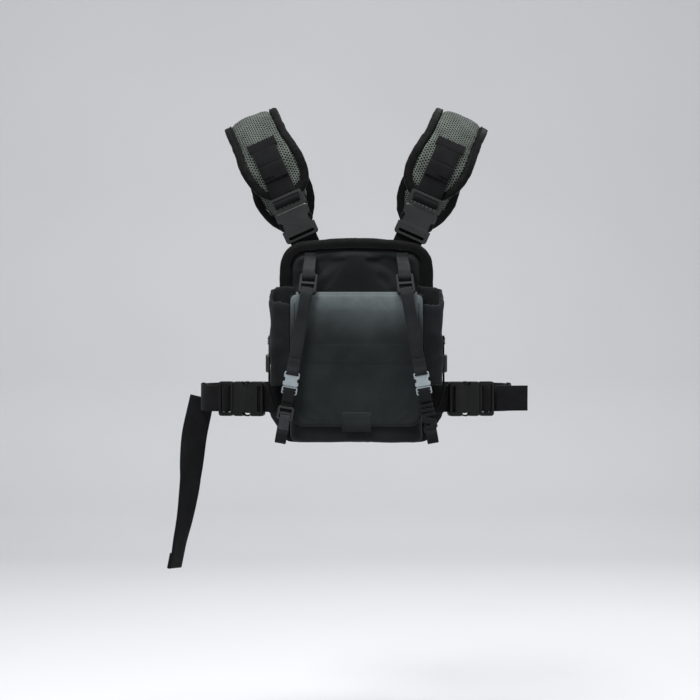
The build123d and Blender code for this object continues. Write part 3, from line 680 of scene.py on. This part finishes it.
# ---- back panel and its binding
def panel_outline(inset, depth):
    """The back panel's outline moved in by inset, as 3-D points at a depth in front of the chest."""
    half_w, side_top, crown, low = 73 - inset, 93.6 - inset, 97 - inset, -97 + inset
    corners = [(0, crown), (30, crown - 1.3), (half_w, side_top), (half_w, low), (-half_w, low)]
    corners += [(-half_w, side_top), (-30, crown - 1.3), (0, crown)]
    line = rounded(corners, [200, 26 - inset, 12 - inset * 0.9, 12 - inset * 0.9, 26 - inset, 200], 3.0)
    return [Vector((p.x, -depth, p.y)) for p in line]


def inside_panel(points, margin):
    """True for points at least margin millimetres inside the panel's binding."""
    x, z = np.abs(points[:, 0]) / MM, points[:, 2] / MM
    corner = np.hypot(np.maximum(x - 47, 0), np.maximum(z - 68, 0)) < 15 - margin
    return (x < 62 - margin) & (z > -86 + margin) & (z < 84 - margin) & (corner | (x < 47) | (z < 68))


panel_face = remeshed("back_panel_cloth", ["back_panel"], 3.6, PANEL_CLOTH, shrink=-1.0, rounds=1)
puffed(
    panel_face,
    lambda p: ~inside_panel(p, 3.0) | (p[:, 1] > -0.008),
    cap=3.2,
    pressure=3.0,
    loose=0.09,
    keep=lambda p: held(p, -0.0165, -0.0032),
)
panel_tape = remeshed("back_panel_tape", ["back_panel_binding"], 2.0, BINDING, rounds=4)
wrinkled(panel_tape, 0.5, 16, seed=3.0)
chest_mesh = remeshed("chest_air_mesh", ["back_mesh_pad"], 2.0, BACK_MESH, rounds=1)
panel_seams = stitches("back_panel_stitching", [panel_outline(9.3, 16.2), panel_outline(12.6, 14.6)], THREAD)

# ---- pouch and pockets
pouch = remeshed("pouch_cloth", ["pouch_shell"], 2.3, POUCH_CLOTH, shrink=0.25, rounds=3)
wrinkled(pouch, 0.7, 38, seed=9.0)
rim = remeshed("pouch_rim_tape", ["pouch_rim_binding"], 1.6, BINDING, rounds=3)

MOUTH_SLOPE = (48.0 - 27.0) / (60.0 - 16.5)


def under_mouth(point):
    """Distance in millimetres below a side pocket's slanting mouth."""
    return 48.0 + (point[1] / MM + 16.5) * MOUTH_SLOPE - point[2] / MM


pockets = {}
for side, sign in SIDES:
    pocket = remeshed(f"{side}_pocket_cloth", [f"{side}_side_pocket"], 1.7, POUCH_CLOTH, shrink=0.1, rounds=4)
    wrinkled(pocket, 1.5, 26, where=lambda p: min(max(under_mouth(p) - 9, 0) / 12, 1), seed=4.0 + sign)
    points = points_of(pocket)
    for i, point in enumerate(points):
        x, y, z = (float(c) for c in point / MM)
        gather = max(0.0, 1 - under_mouth(point) / 22)
        rise = gather * (0.9 * math.sin(y * 0.35 + x * 0.15) + 3.2 * noise.noise(Vector((x, y, 0)) * 0.05))
        points[i, 0] += sign * gather * 0.8 * math.sin(y * 0.55 + z * 0.06) * MM
        points[i, 2] += (rise + 4.0 * gather) * MM
    put_points(pocket, points)
    pockets[side] = pocket

# ---- lid
LID_HALF = 60.0


def lid_edge(points):
    """True where the lid's panels are sewn: near an edge of their outline."""
    x, z = np.abs(points[:, 0]) / MM, points[:, 2] / MM
    ends = (z > 37.5) | (np.abs(z - FOLD_Z) < 2.0) | (z < -76.0)
    return (x > LID_HALF - 4.0) | ends | (np.hypot(np.maximum(x - 48, 0), np.maximum(-67 - z, 0)) > 9)


def off_pouch(points):
    """The lid's back stays clear of the pouch, and its front clear of the tethers."""
    off_fold = np.clip((np.abs(points[:, 2] / MM - FOLD_Z) - 13.0) / 30.0, 0, 1)
    front = np.maximum(-0.0830 - 0.0065 * lid_thins(points[:, 2] / MM), -0.0863 - 0.0011 * off_fold)
    return held(points, front, -0.0827)


def lid_thins(z):
    """The share of the lid's thickness left where it thins towards its hinge."""
    return 1 - 0.62 * np.clip((z - 22.0) / 19.0, 0, 1) ** 2


def rounded_top(points):
    """The lid's upper end thins and leans back to its hinge, with rounded corners."""
    x, y, z = (points / MM).T
    y = -83.0 + (y + 83.0) * lid_thins(z)
    away_x, away_z = np.maximum(np.abs(x) - 54.0, 0), np.maximum(z - 35.0, 0)
    reach = np.hypot(away_x, away_z)
    pull = np.where((away_x > 0) & (away_z > 0), np.minimum(1, 6.0 / np.maximum(reach, 1e-6)), 1)
    x = np.where(away_x > 0, np.sign(x) * (54.0 + away_x * pull), x)
    z = np.where(away_z > 0, 35.0 + away_z * pull, z)
    return np.column_stack([x, y, z]) * MM


lid_parts = {}
for part in ("riser", "top"):
    panel = remeshed(f"lid_{part}_cloth", [f"lid_{part}_panel"], 2.0, LID_CLOTH, rounds=2)
    put_points(panel, rounded_top(points_of(panel)))
    lid_parts[part] = puffed(panel, lid_edge, cap=0.45, pressure=1.5, loose=0.01, keep=off_pouch)

fold_section = ((-85.8, 13), (-86.1, 7), (-86.2, 0), (-86.1, -7), (-85.8, -13))
fold_path = [Vector((0, y, FOLD_Z + rise)) for y, rise in fold_section]
fold_strip = ribbon("lid_fold_cloth", fold_path, Vector((1, 0, 0)), 119.0, 0.6, LID_CLOTH)
hinge_path = rounded([(77.5, 42.7), (81.5, 42.9), (83.5, 41.7), (83.9, 38.0)], [6, 2], 0.7)
hinge_path = [Vector((0, -p.x, p.y)) for p in hinge_path]
hinge_strip = ribbon("lid_hinge_cloth", hinge_path, Vector((1, 0, 0)), 110.0, 0.9, LID_CLOTH)


def lid_line(x0, z0, x1, z1):
    """A line just in front of the lid's face."""
    ends = [(x0 + (x1 - x0) * k / 16, z0 + (z1 - z0) * k / 16) for k in range(17)]
    return [Vector((x, -83.35 - 4.0 * lid_thins(z), z)) for x, z in ends]


SEAM_X = LID_HALF - 3.6
riser_lines = [lid_line(x, 33, x, -11) for x in (-SEAM_X, SEAM_X)]
riser_seams = stitches("lid_riser_stitching", riser_lines, GREY_THREAD)
hem = rounded([(-SEAM_X, -16), (-SEAM_X, -75.6), (SEAM_X, -75.6), (SEAM_X, -16)], [9, 9], 2.0)
top_seams = stitches("lid_top_stitching", [[Vector((p.x, -87.35, p.y)) for p in hem]], GREY_THREAD)
TAB_TOP, TAB_LOW = -65.5, -83.5
tab_section = ((-87.2, TAB_TOP), (-87.35, -70), (-87.45, -76), (-87.5, TAB_LOW))
tab_path = [Vector((0, y, z)) for y, z in tab_section]
tab = ribbon("lid_tab_cloth", tab_path, Vector((1, 0, 0)), 26.0, 0.9, LID_CLOTH)
tab_box = [Vector((x, -87.75, z)) for z, x in box_of(TAB_TOP - 1.5, -11, -74, 11)]
tab_line = [Vector((0, -87.8, -75)), Vector((0, -87.9, TAB_LOW + 1))]
tab_seams = stitches("lid_tab_stitching", [tab_box, tab_line], GREY_THREAD, radius=0.3)

# ---- shoulder straps
OUT = Vector((math.sin(LEAN), 0, math.cos(LEAN)))
ARCH = Flat(SHOULDER, (0, 1, 0), OUT)
ARCH_LINE = rounded([(5, 34), (9, 78), (42, 121), (106, 121), (168, 80), (186, 18)], [46, 46, 50, 60], 1.5)
BUCKLE_AT = (-9.8, 26.5)
BUCKLE_WAY = OUT * math.cos(TIP) + Vector((0, -math.sin(TIP), 0))
SHOULDER_BUCKLE = Flat(ARCH.point(*BUCKLE_AT), BUCKLE_WAY, ARCH.z)
SHOULDER_BUCKLE.out = Vector((0, -math.cos(TIP), 0)) - OUT * math.sin(TIP)
line_array = np.array(ARCH_LINE)
line_run = np.concatenate([[0], np.cumsum(np.linalg.norm(np.diff(line_array, axis=0), axis=1))])
way_array = np.array(tangents(ARCH_LINE))


def on_arch(points, sign):
    """Each point's place on a shoulder pad: along it, out from its inner face and across, in millimetres."""
    away = points / MM * np.array([sign, 1, 1]) - np.array(ARCH.origin)
    flat = np.column_stack([away @ np.array(ARCH.x), away @ np.array(ARCH.y)])
    near = np.argmin(((flat[:, None, :] - line_array[None]) ** 2).sum(axis=2), axis=1)
    offset = flat - line_array[near]
    along = line_run[near] + (offset * way_array[near]).sum(axis=1)
    out = -offset[:, 0] * way_array[near][:, 1] + offset[:, 1] * way_array[near][:, 0]
    return along, out, away @ np.array(ARCH.z)


def half_widths(along, across):
    """The pad's half width at each place along it, read from its own points."""
    bins = np.clip((along / 5).astype(int), 0, 79)
    widest = np.zeros(80)
    np.maximum.at(widest, bins, np.abs(across))
    return np.interp(along / 5, np.arange(80) + 0.5, widest)


for side, sign in SIDES:
    pad = remeshed(f"{side}_pad_cloth", [f"{side}_pad_foam", f"{side}_pad_mesh"], 2.6, AIR_MESH, rounds=2)
    along, out, across = on_arch(points_of(pad), sign)
    edge = half_widths(along, across)
    middle = np.clip(1 - (across / np.maximum(edge, 1)) ** 2, 0, 1)
    swell = normals_of(pad) * (middle * (out > 6) * 1.6 * MM)[:, None]
    put_points(pad, points_of(pad) + swell)
    sewn = (np.abs(across) > edge - 4) | (out < 4)
    puffed(pad, lambda p, sewn=sewn: sewn, cap=1.6, pressure=3.0, loose=0.05)
    on_pack(pad, "spacer_mesh", f"{side}_pad_foam", f"{side}_pad_mesh")
    pad_tape = remeshed(f"{side}_pad_tape", [f"{side}_pad_binding"], 2.2, BINDING, rounds=4)
    wrinkled(pad_tape, 0.5, 14, seed=7.0 + sign)
    on_pack(box_uv(pad_tape), "binding_tape", f"{side}_pad_binding")
    bins = np.arange(10, line_run[-1] - 10, 6.0)
    seam_width = np.interp(bins, np.sort(along), edge[np.argsort(along)]) + 1.2
    spine = np.array([ARCH.point(*p) for p in moved_left(ARCH_LINE, PAD_FACE + 1.15)])
    spots = np.column_stack([np.interp(bins, line_run, spine[:, k]) for k in range(3)])
    runs = [[Vector(s) + ARCH.z * w * lane for s, w in zip(spots, seam_width)] for lane in (1, -1)]
    on_pack(stitches(f"{side}_pad_stitching", runs, THREAD, sign), "binding_tape")


def buckle_path(flat, out, passes):
    """Points in a buckle's lengthwise section, along it and out from the body."""
    return [flat.origin + flat.x * a + out * b for a, b in passes]


BAR_PASS = [(5.7, -2.2), (5.7, 4.2), (9.6, 4.2), (9.6, -5.8), (15.0, -5.8)]
BAR_RADII = [1.6, 1.6, 2.4]
WEB_LOW = PAD_FACE + 0.7
BELTING = (WEB_W, WEB_T, BLACK_WEB)


def pad_strap_line():
    """The pad webbing's inner face, as a dense line in the arch's plane."""
    passes = [ARCH.local(p)[:2] for p in buckle_path(SHOULDER_BUCKLE, SHOULDER_BUCKLE.out, BAR_PASS)]
    pad_part = moved_left(rounded([(5, 34), (9, 78), (42, 121)], [46], 1.5), WEB_LOW + 0.9)
    start = min(range(len(pad_part)), key=lambda i: abs(pad_part[i].y - 60))
    end = min(range(len(pad_part)), key=lambda i: abs(pad_part[i].y - 99))
    lead = rounded(passes + [pad_part[start], pad_part[start + 1]], BAR_RADII + [10, 15], 0.8)
    return moved_left(lead, WEB_T / 2) + moved_left(pad_part[start + 1 : end], WEB_T / 2)


STRAP_LINE = pad_strap_line()
pad_straps, belt_straps = {}, {}
for side, sign in SIDES:
    pad_straps[side] = ARCH.strap(f"{side}_pad_strap", STRAP_LINE, *BELTING, sign, 0.25, sign)
    layer = [ARCH.point(*p) for p in moved_left([p for p in STRAP_LINE if 58 < p.y < 92], 1.7)]
    part = layer[: len(layer) * 3 // 5]
    second = ribbon(f"{side}_pad_strap_fold", part, ARCH.z, WEB_W - 1, 1.3, BLACK_WEB, sign, 0.5, 2)
    on_pack(second, "black_webbing")
    rows = []
    for share in (0.10, 0.62):
        spot = layer[int(len(layer) * share)]
        lift = Vector((0, -1.2, 0))
        rows.append([spot + lift - ARCH.z * 11, spot + lift + ARCH.z * 11])
    on_pack(stitches(f"{side}_pad_bar_tacks", rows, THREAD, sign, 1.6, 0.5), "black_webbing")
    anchor = [SHOULDER_BUCKLE.point(a, 0) for a in (-39.1, -36, -32, -29, -24.2)]
    piece = ribbon(f"{side}_shoulder_tag", anchor, ARCH.z, WEB_W + 1.6, WEB_T, BLACK_WEB, sign)
    on_pack(piece, "black_webbing", f"{side}_shoulder_anchor")

patches = remeshed("pad_patch_pile", ["pad_patches"], 1.3, HOOK_LOOP, rounds=2)
on_pack(box_uv(patches), "hook_loop", "pad_patches")

# ---- belts
LEVEL = Flat((0, 0, BELT_Z), (1, 0, 0), (0, 1, 0))
BELT_BUCKLE = Flat((117.0, -1.0, BELT_Z), (math.cos(BELT_YAW), math.sin(BELT_YAW), 0), (0, 0, 1))
BELT_OUT = Vector((math.sin(BELT_YAW), -math.cos(BELT_YAW), 0))
RIB_TURN = (148, 18)
passes = [tuple(p[:2]) for p in buckle_path(BELT_BUCKLE, BELT_OUT, BAR_PASS)]
belt_corners = passes + [RIB_TURN, (TORSO_SIDE, 56), (TORSO_SIDE, 132), (118, 194)]
belt_corners += [(62, YOKE_BACK), (24, YOKE_BACK)]
belt_line = moved_left(rounded(belt_corners, BAR_RADII + [12, 26, 60, 60, 60, 40], 2.0), -WEB_T / 2)
for side, sign in SIDES:
    belt_straps[side] = LEVEL.strap(f"{side}_belt_strap", belt_line, *BELTING, sign, 0.5, 5 * sign)
    end_box = box_of(27, -9, 44, 9) + [(44, 9)]
    x_end = [Vector((x, YOKE_BACK + 2.1, BELT_Z + z)) for x, z in end_box]
    seams = stitches(f"{side}_belt_end_stitching", [x_end, [x_end[1], x_end[3]]], GREY_THREAD, sign)
    on_pack(seams, "black_webbing")
    tag_line = rounded([(73, -9), (80, -9), tuple(BELT_BUCKLE.point(-25.2, 0)[:2])], [6], 1.5)
    tag = LEVEL.strap(f"{side}_belt_tag", tag_line, *BELTING, sign)
    on_pack(tag, "black_webbing")
    wing = remeshed(f"{side}_wing_cloth", [f"{side}_side_wing"], 1.5, POUCH_CLOTH, rounds=2)
    on_pack(box_uv(wing), "pouch_fabric", f"{side}_side_wing")

tail_from = Vector(passes[-1]) + (Vector(RIB_TURN) - Vector(passes[-1])).normalized() * 3.0
short_line = moved_left(rounded([tail_from, RIB_TURN, (165, 23)], [40], 1.5), -WEB_T * 1.6)
short_tail = LEVEL.strap("left_belt_tail", short_line, WEB_W - 0.6, WEB_T * 0.9, BLACK_WEB, 1, 0.6, 11)
place(short_tail, "left_belt_plug_body", "black_webbing")

DOWN = Vector((0.145, -0.05, -1)).normalized()
WIDE = Vector((0.8, -0.6, 0))
WIDE = (WIDE - DOWN * WIDE.dot(DOWN)).normalized()
TAIL = Flat((TORSO_SIDE + 0.6, 50, BELT_Z - 6), DOWN, WIDE.cross(DOWN))
TAIL_L = 164.0
tail_line = moved_left(rounded([(-6, -1), (34, 4), (92, -3), (TAIL_L, 3)], [90, 120], 2.5), WEB_T / 2)


def tail_across(share):
    """The long tail turns slowly as it hangs."""
    turn = math.radians(46 - 62 * min(share * 2.2, 1) + 14 * math.sin(share * 5))
    return WIDE * math.cos(turn) + TAIL.y * math.sin(turn)


wide = [tail_across(i / len(tail_line)) for i in range(len(tail_line))]
tail_path = [TAIL.point(*p) for p in tail_line]
long_tail = ribbon("right_belt_tail", tail_path, wide, *BELTING, -1, 1.0, 17)
on_pack(long_tail, "black_webbing")
end_line = [p for p in tail_line if p.x > TAIL_L - 17]
end_path = [TAIL.point(*p) for p in moved_left(end_line, 1.7)]
tail_end = ribbon("right_belt_tail_end", end_path, wide[-1], WEB_W + 0.8, WEB_T, BLACK_WEB, -1, 0.2, 3)
on_pack(tail_end, "black_webbing")
rows = [[end_path[i] + TAIL.y * 1.3 + wide[-1] * w for w in (-11, 11)] for i in (1, 3, -2)]
on_pack(stitches("right_belt_tail_stitching", rows, GREY_THREAD, -1, 2.2), "black_webbing")

keepers = remeshed("belt_keeper_bands", ["belt_keepers"], 1.0, BLACK_WEB, rounds=2)
on_pack(box_uv(keepers), "black_webbing", "belt_keepers")

# ---- yoke on the wearer's back
yoke = remeshed("back_yoke_cloth", ["back_yoke"], 3.2, PANEL_CLOTH, shrink=-1.0, rounds=2)
puffed(
    yoke,
    lambda p: (np.abs(p[:, 0]) > 0.036) | (p[:, 2] > 0.032) | (p[:, 2] < -0.072),
    cap=2.0,
    pressure=3.0,
    loose=0.05,
    keep=lambda p: held(p, 0.2034, 0.2116),
)
yoke_tape = remeshed("back_yoke_tape", ["back_yoke_binding"], 1.8, BINDING, rounds=3)
half_yoke = [(0, 38.5), (36.9, 38.5), (48, -38), (48, -74), (31, -78.5)]
yoke_corners = half_yoke + [(-x, z) for x, z in reversed(half_yoke)]
yoke_line = rounded(yoke_corners, [8, 30, 6, 6, 6, 6, 30, 8], 3.0)
yoke_seam = [Vector((p.x, YOKE_BACK + 0.3, p.y)) for p in yoke_line]
on_pack(stitches("back_yoke_stitching", [yoke_seam], THREAD), "binding_tape")
REAR_END = -96.0
on_rear = moved_left([Vector((168, 80)), Vector((186, 18))], WEB_LOW)
rear_corners = [on_rear[0].lerp(on_rear[1], 0.35), on_rear[1], (YOKE_BACK, -44), (YOKE_BACK, REAR_END)]
rear_line = moved_left(rounded(rear_corners, [80, 60], 2.0), WEB_T / 2)
for side, sign in SIDES:
    path = [ARCH.point(*p) for p in rear_line]
    rear = ribbon(f"{side}_rear_strap", path, ARCH.z, *BELTING, sign, 0.3, 6)
    on_pack(rear, "black_webbing", f"{side}_rear_webbing")
    box = [path[k] + Vector((0, 1.4, 0)) + ARCH.z * w for k, w in box_of(-2, -10, -9, 10)]
    top_box = [path[k] + Vector((0, 1.4, 0.3)) + ARCH.z * w for k, w in box_of(1, -10, 8, 10)]
    runs = [box, [box[0], box[2]], [box[1], box[3]], top_box]
    on_pack(stitches(f"{side}_rear_stitching", runs, GREY_THREAD, sign), "black_webbing")

# ---- side pocket straps
POCKET_OUT = 81.0
ACROSS_SIDE = Vector((0, 1, 0))
strap_line = rounded([(POCKET_OUT, 4), (POCKET_OUT, -47), (POCKET_OUT - 5, -64), (60.4, -74)], [30, 12], 2.0)
strap_line = moved_left(strap_line, CORD_T / 2)
for side, sign in SIDES:
    path = [Vector((p.x, -30, p.y)) for p in strap_line]
    strap = ribbon(f"{side}_pocket_tie", path, ACROSS_SIDE, CORD_W, CORD_T, BLACK_WEB, sign, 0.3, 8)
    on_pack(strap, "black_webbing", f"{side}_pocket_strap")
    tie = [Vector((82.9, y, z)) for z, y in box_of(2, -34, -4, -26)]
    on_pack(stitches(f"{side}_pocket_tie_stitching", [tie], GREY_THREAD, sign, 2.0, 0.35), "black_webbing")

# ---- tethers
TETHER_X = 43.5
TETHER_LEAN = math.radians(10.0)
LOCK_SLOPE = math.radians(53.5)
UPPER = Flat((TETHER_X, 0, 0), (0, -1, 0), (0, 0, 1))
LOWER = Flat((TETHER_X + 1.2, 0, 44), (0, -1, 0), (-math.sin(TETHER_LEAN), 0, math.cos(TETHER_LEAN)))
MINI_U, MINI_V = 95.4, -87.5
LOOP_TOP = MINI_V - 5.04


def at_lock(a, n):
    """A point along and out from the ladder lock, in front of the chest plane and up."""
    run = Vector((math.cos(LOCK_SLOPE), -math.sin(LOCK_SLOPE)))
    return Vector((84.0, 50.5)) + run * a + Vector((-run.y, run.x)) * n


def beside_lock(a, n):
    point = at_lock(a, n)
    return (point.x, (point.y - 44) / math.cos(TETHER_LEAN))


upper_corners = [(14.3, 82.3), (15.6, 76.5), (50, 70.5)]
upper_corners += [at_lock(-14, 2.4), at_lock(-5.8, 2.4), at_lock(-5.8, -2.2)]
upper_line = moved_left(rounded(upper_corners, [5, 80, 10, 1.4], 1.2), CORD_T / 2)
lower_corners = [beside_lock(7.4, -2.6), beside_lock(7.4, 2.8), beside_lock(14.0, 2.8)]
lower_corners += [(94.9, -14), (94.9, -50), (MINI_U - 0.7, MINI_V + 9.8)]
lower_line = moved_left(rounded(lower_corners, [1.2, 4, 30, 200], 1.2), CORD_T / 2)
loop_corners = [(-1.6, 0), (-1.6, -27), (-6, -38), (-6, -47), (6, -47), (6, -38), (1.6, -27), (1.6, 0)]
loop_corners = [(MINI_U + a, LOOP_TOP + b) for a, b in loop_corners]
loop_line = moved_left(rounded(loop_corners, [14, 5, 4, 4, 5, 14], 0.9), CORD_T / 2)


def by_mini(corners, radii):
    """A rounded line from corners measured from the small buckle's mouth."""
    return rounded([(MINI_U + a, MINI_V + b) for a, b in corners], radii, 0.8)


socket_fold = by_mini([(0.2, 10.8), (3.3, 10.8), (3.3, 14.5), (1.9, 18), (1.7, 25)], [1.2, 3, 6])
plug_fold = by_mini([(0.4, -2.3), (2.9, -2.3), (2.9, -8.5), (2.3, -14)], [1.0, 3])
# name, plane, line, width, thickness, webbing, waver, body, and the CAD node that it stands for, if any
TETHER_STRAPS = (
    ("tether_top_strap", UPPER, upper_line, CORD_W, CORD_T, TETHER_WEB, 0.4, "upper", "upper_strap"),
    ("tether_drop_strap", LOWER, lower_line, CORD_W, CORD_T, TETHER_WEB, 0.5, "lower", "lower_strap"),
    ("bino_loop", LOWER, loop_line, CORD_W - 1, CORD_T, LOOP_WEB, 0.5, "plug_body", "loop"),
    ("tether_fold", LOWER, socket_fold, CORD_W, FOLD_T, TETHER_WEB, 0.2, "lower"),
    ("loop_fold", LOWER, plug_fold, CORD_W - 0.6, FOLD_T, LOOP_WEB, 0.2, "plug_body"),
)
for side, sign in SIDES:
    for seed, (name, flat, line, width, thick, web, waver, body, *node) in enumerate(TETHER_STRAPS, 1):
        strap = flat.strap(f"{side}_{name}", line, width, thick, web, sign, waver, seed)
        place(strap, f"{side}_tether_{body}", "tether_webbing", *(f"{side}_tether_{n}" for n in node))
    for k, height in enumerate((19.5, 23.0)):
        centre = LOWER.point(MINI_U + 2.5, MINI_V + height)
        run = [centre - LOWER.z * 4.6, centre + LOWER.z * 4.6]
        row = stitches(f"{side}_tether_tack_{k}", [run], GREY_THREAD, sign, 1.5, 0.35)
        place(row, f"{side}_tether_lower", "tether_webbing")

# the wearer's left loop has its spare webbing wrapped round it: height, tilt, width and reach of each turn
WRAPS = (
    (-12.5, 0.0, 3.2, 3.3),
    (-16.6, 0.03, 3.4, 3.5),
    (-20.8, -0.04, 3.4, 3.6),
    (-26.5, 0.42, 5.6, 4.1),
    (-32.5, -0.3, 4.6, 4.4),
)
for k, (height, tilt, tall, out) in enumerate(WRAPS):
    half = 5.4 + 0.1 * k
    corners = [(0, out), (half, out), (half, -out), (-half, -out), (-half, out), (0, out)]
    ring = rounded(corners, [1.6] * 4, 0.8)
    path = [LOWER.point(MINI_U + p.y, LOOP_TOP + height + p.x * tilt, p.x) for p in ring]
    wrap = ribbon(f"left_loop_wrap_{k}", path, LOWER.y, tall, FOLD_T, LOOP_WEB, 1, 0.4, k)
    place(wrap, "left_tether_plug_body", "tether_webbing")
tail_path = [LOWER.point(MINI_U + 3.4 + 0.1 * k, LOOP_TOP - 21 - 1.5 * k, 0.3 + 0.05 * k) for k in range(12)]
loop_tail = ribbon("right_loop_tail", tail_path, LOWER.z, CORD_W - 1.6, FOLD_T, TAIL_WEB, -1, 0.6, 21)
place(loop_tail, "right_tether_plug_body", "tether_webbing")

# ---- moulded pieces
bow = rounded([(-8.6, 11.4), (-11.0, 16.0), (-16.4, 16.0), (-18.6, 11.4)], [3.2, 3.2], 0.7)
for side, sign in SIDES:
    moulding = (
        ("shoulder_socket", "pack", "dark_acetal", DARK_PLASTIC),
        ("shoulder_plug", f"{side}_shoulder_plug_body", "dark_acetal", DARK_PLASTIC),
        ("belt_socket", "pack", "dark_acetal", SHADED_DARK_PLASTIC),
        ("belt_plug", f"{side}_belt_plug_body", "dark_acetal", SHADED_DARK_PLASTIC),
        ("tether_ladder_lock", f"{side}_tether_upper", "dark_acetal", LOCK_PLASTIC),
        ("tether_socket", f"{side}_tether_lower", "grey_acetal", GREY_PLASTIC),
        ("tether_plug", f"{side}_tether_plug_body", "grey_acetal", GREY_PLASTIC),
    )
    for node, body, slot, material in moulding:
        edge = 0.25 if "tether" in node else 0.5
        piece = crisp(f"{side}_{node}_moulding", f"{side}_{node}", material, edge)
        place(piece, body, slot, f"{side}_{node}")

    for name, flat, out in (
        ("shoulder", SHOULDER_BUCKLE, SHOULDER_BUCKLE.out),
        ("belt", BELT_BUCKLE, BELT_OUT),
    ):
        for k, lane in enumerate((1, -1)):
            path = [flat.point(p.x, p.y * lane) for p in bow]
            prong = ribbon(f"{side}_{name}_prong_{k}", path, out, 4.2, 1.5, SHADED_DARK_PLASTIC, sign)
            place(prong, f"{side}_{name}_plug_body", "dark_acetal")
slide = crisp("right_tether_slide_moulding", "right_tether_slide", DARK_PLASTIC, 0.3)
place(slide, "right_tether_plug_body", "dark_acetal", "right_tether_slide")
locks = crisp("pocket_lock_mouldings", "pocket_strap_locks", DARK_PLASTIC, 0.3)
on_pack(locks, "dark_acetal", "pocket_strap_locks")

for node in ("back_panel_stiffener", "lid_riser_stiffener", "lid_top_stiffener"):
    dress(nodes[node], SHEET_PLASTIC)
for node in ("back_panel_magnets", "lid_magnets"):
    dress(nodes[node], STEEL)

# ---- simulate, then place the cloth pieces
PANEL_PROUD, PANEL_COVER = -0.0172, -0.0131  # the panel's front stays between, over its sheet and magnets
run_cloth()
wrinkled(
    panel_face,
    1.3,
    34,
    where=lambda p: float(p[1] < -0.009) * min(max((0.062 - abs(p[0])) / 0.008, 0), 1),
    seed=2.4,
    stretch=(0.35, 1, 1.5),
    sunk=0.1,
)
points = points_of(panel_face)
covered = inside_panel(points, -2.0) & (points[:, 1] < -0.009)
points[covered, 1] = np.clip(points[covered, 1], PANEL_PROUD, PANEL_COVER)
put_points(panel_face, points)
wrinkled(
    lid_parts["top"],
    0.25,
    40,
    where=lambda p: float(p[1] < -0.086) * min(max((-0.030 - p[2]) / 0.015, 0), 1),
    seed=6.2,
    stretch=(1, 1, 0.6),
)
wrinkled(yoke, 0.4, 36, lambda p: float(p[1] > 0.209), 1.2)
for piece in (panel_face, panel_tape, chest_mesh, pouch, rim, *lid_parts.values(), yoke, yoke_tape):
    box_uv(piece)
for side in pockets:
    on_pack(box_uv(pockets[side]), "pouch_fabric", f"{side}_side_pocket")
for side, sign in SIDES:
    pad = bpy.data.objects[f"{side}_pad_cloth"]
    along, out, across = on_arch(points_of(pad), sign)
    layer = pad.data.uv_layers.get("UVMap") or pad.data.uv_layers.new(name="UVMap")
    for loop in pad.data.loops:
        k = loop.vertex_index
        layer.data[loop.index].uv = (along[k] * MM, across[k] * MM)
on_pack(panel_face, "panel_fabric", "back_panel")
on_pack(panel_tape, "binding_tape", "back_panel_binding")
on_pack(chest_mesh, "spacer_mesh", "back_mesh_pad")
on_pack(panel_seams, "binding_tape")
on_pack(pouch, "pouch_fabric", "pouch_shell")
on_pack(rim, "binding_tape", "pouch_rim_binding")
on_pack(yoke, "panel_fabric", "back_yoke")
on_pack(yoke_tape, "binding_tape", "back_yoke_binding")
place(lid_parts["riser"], "lid_riser", "lid_fabric", "lid_riser_panel")
place(lid_parts["top"], "lid_top", "lid_fabric", "lid_top_panel")
place(riser_seams, "lid_riser", "lid_fabric")
place(top_seams, "lid_top", "lid_fabric")
place(tab, "lid_top", "lid_fabric", "lid_pull_tab")
place(tab_seams, "lid_top", "lid_fabric")
for side, sign in SIDES:
    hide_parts(f"{side}_pad_webbing")
    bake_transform(pad_straps[side])
    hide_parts(f"{side}_belt_webbing")
    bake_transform(belt_straps[side])
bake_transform(fold_strip)
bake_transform(hinge_strip)

# ---- floor, light and camera
FLOOR_Z = -0.42
sweep = [(-6.0, 0.0), (1.7, 0.0), (2.1, 0.06), (2.4, 0.35), (2.45, 0.8), (2.45, 6.42)]
verts = [(x / MM, y / MM, (FLOOR_Z + rise) / MM) for y, rise in sweep for x in (-9.0, 9.0)]
faces = [(2 * k, 2 * k + 1, 2 * k + 3, 2 * k + 2) for k in range(len(sweep) - 1)]
paper = Shader("pale_paper", 0.95)
paper_colour = paper.ramp(paper.noise(3.0), (0.62, 0.63, 0.64), (0.66, 0.66, 0.67))
floor = new_object("studio_floor", verts, faces, paper.finish(paper_colour))


def area_light(name, spot, aim, size, power):
    light = bpy.data.lights.new(name, "AREA")
    light.shape = "DISK"
    light.size = size
    light.energy = power
    made = linked(name, light)
    made.location = spot
    made.visible_camera = False
    made.rotation_euler = (Vector(aim) - Vector(spot)).to_track_quat("-Z", "Y").to_euler()


area_light("key", (-0.7, -1.3, 1.9), (0, 0, 0), 0.9, 46)
area_light("fill", (1.6, -1.5, 0.5), (0, 0, 0), 1.6, 9)
area_light("top", (0.1, -0.25, 1.9), (0, 0, 0), 0.8, 36)
area_light("back", (0.7, 1.1, 1.3), (0, 0.1, 0), 1.0, 11)
world = bpy.data.worlds.new("studio")
world.use_nodes = True
sky = world.node_tree.nodes["Background"].inputs
sky["Color"].default_value = (0.92, 0.95, 1.0, 1)
sky["Strength"].default_value = 0.32
bpy.context.scene.world = world
bpy.context.scene.view_settings.view_transform = "Standard"

camera_data = bpy.data.cameras.new("camera")
camera_data.lens = 86.0
camera = linked("camera", camera_data)
camera.location = (-0.006, -1.6, -0.0095)
camera.rotation_euler = (math.radians(90), 0, 0)
bpy.context.scene.camera = camera
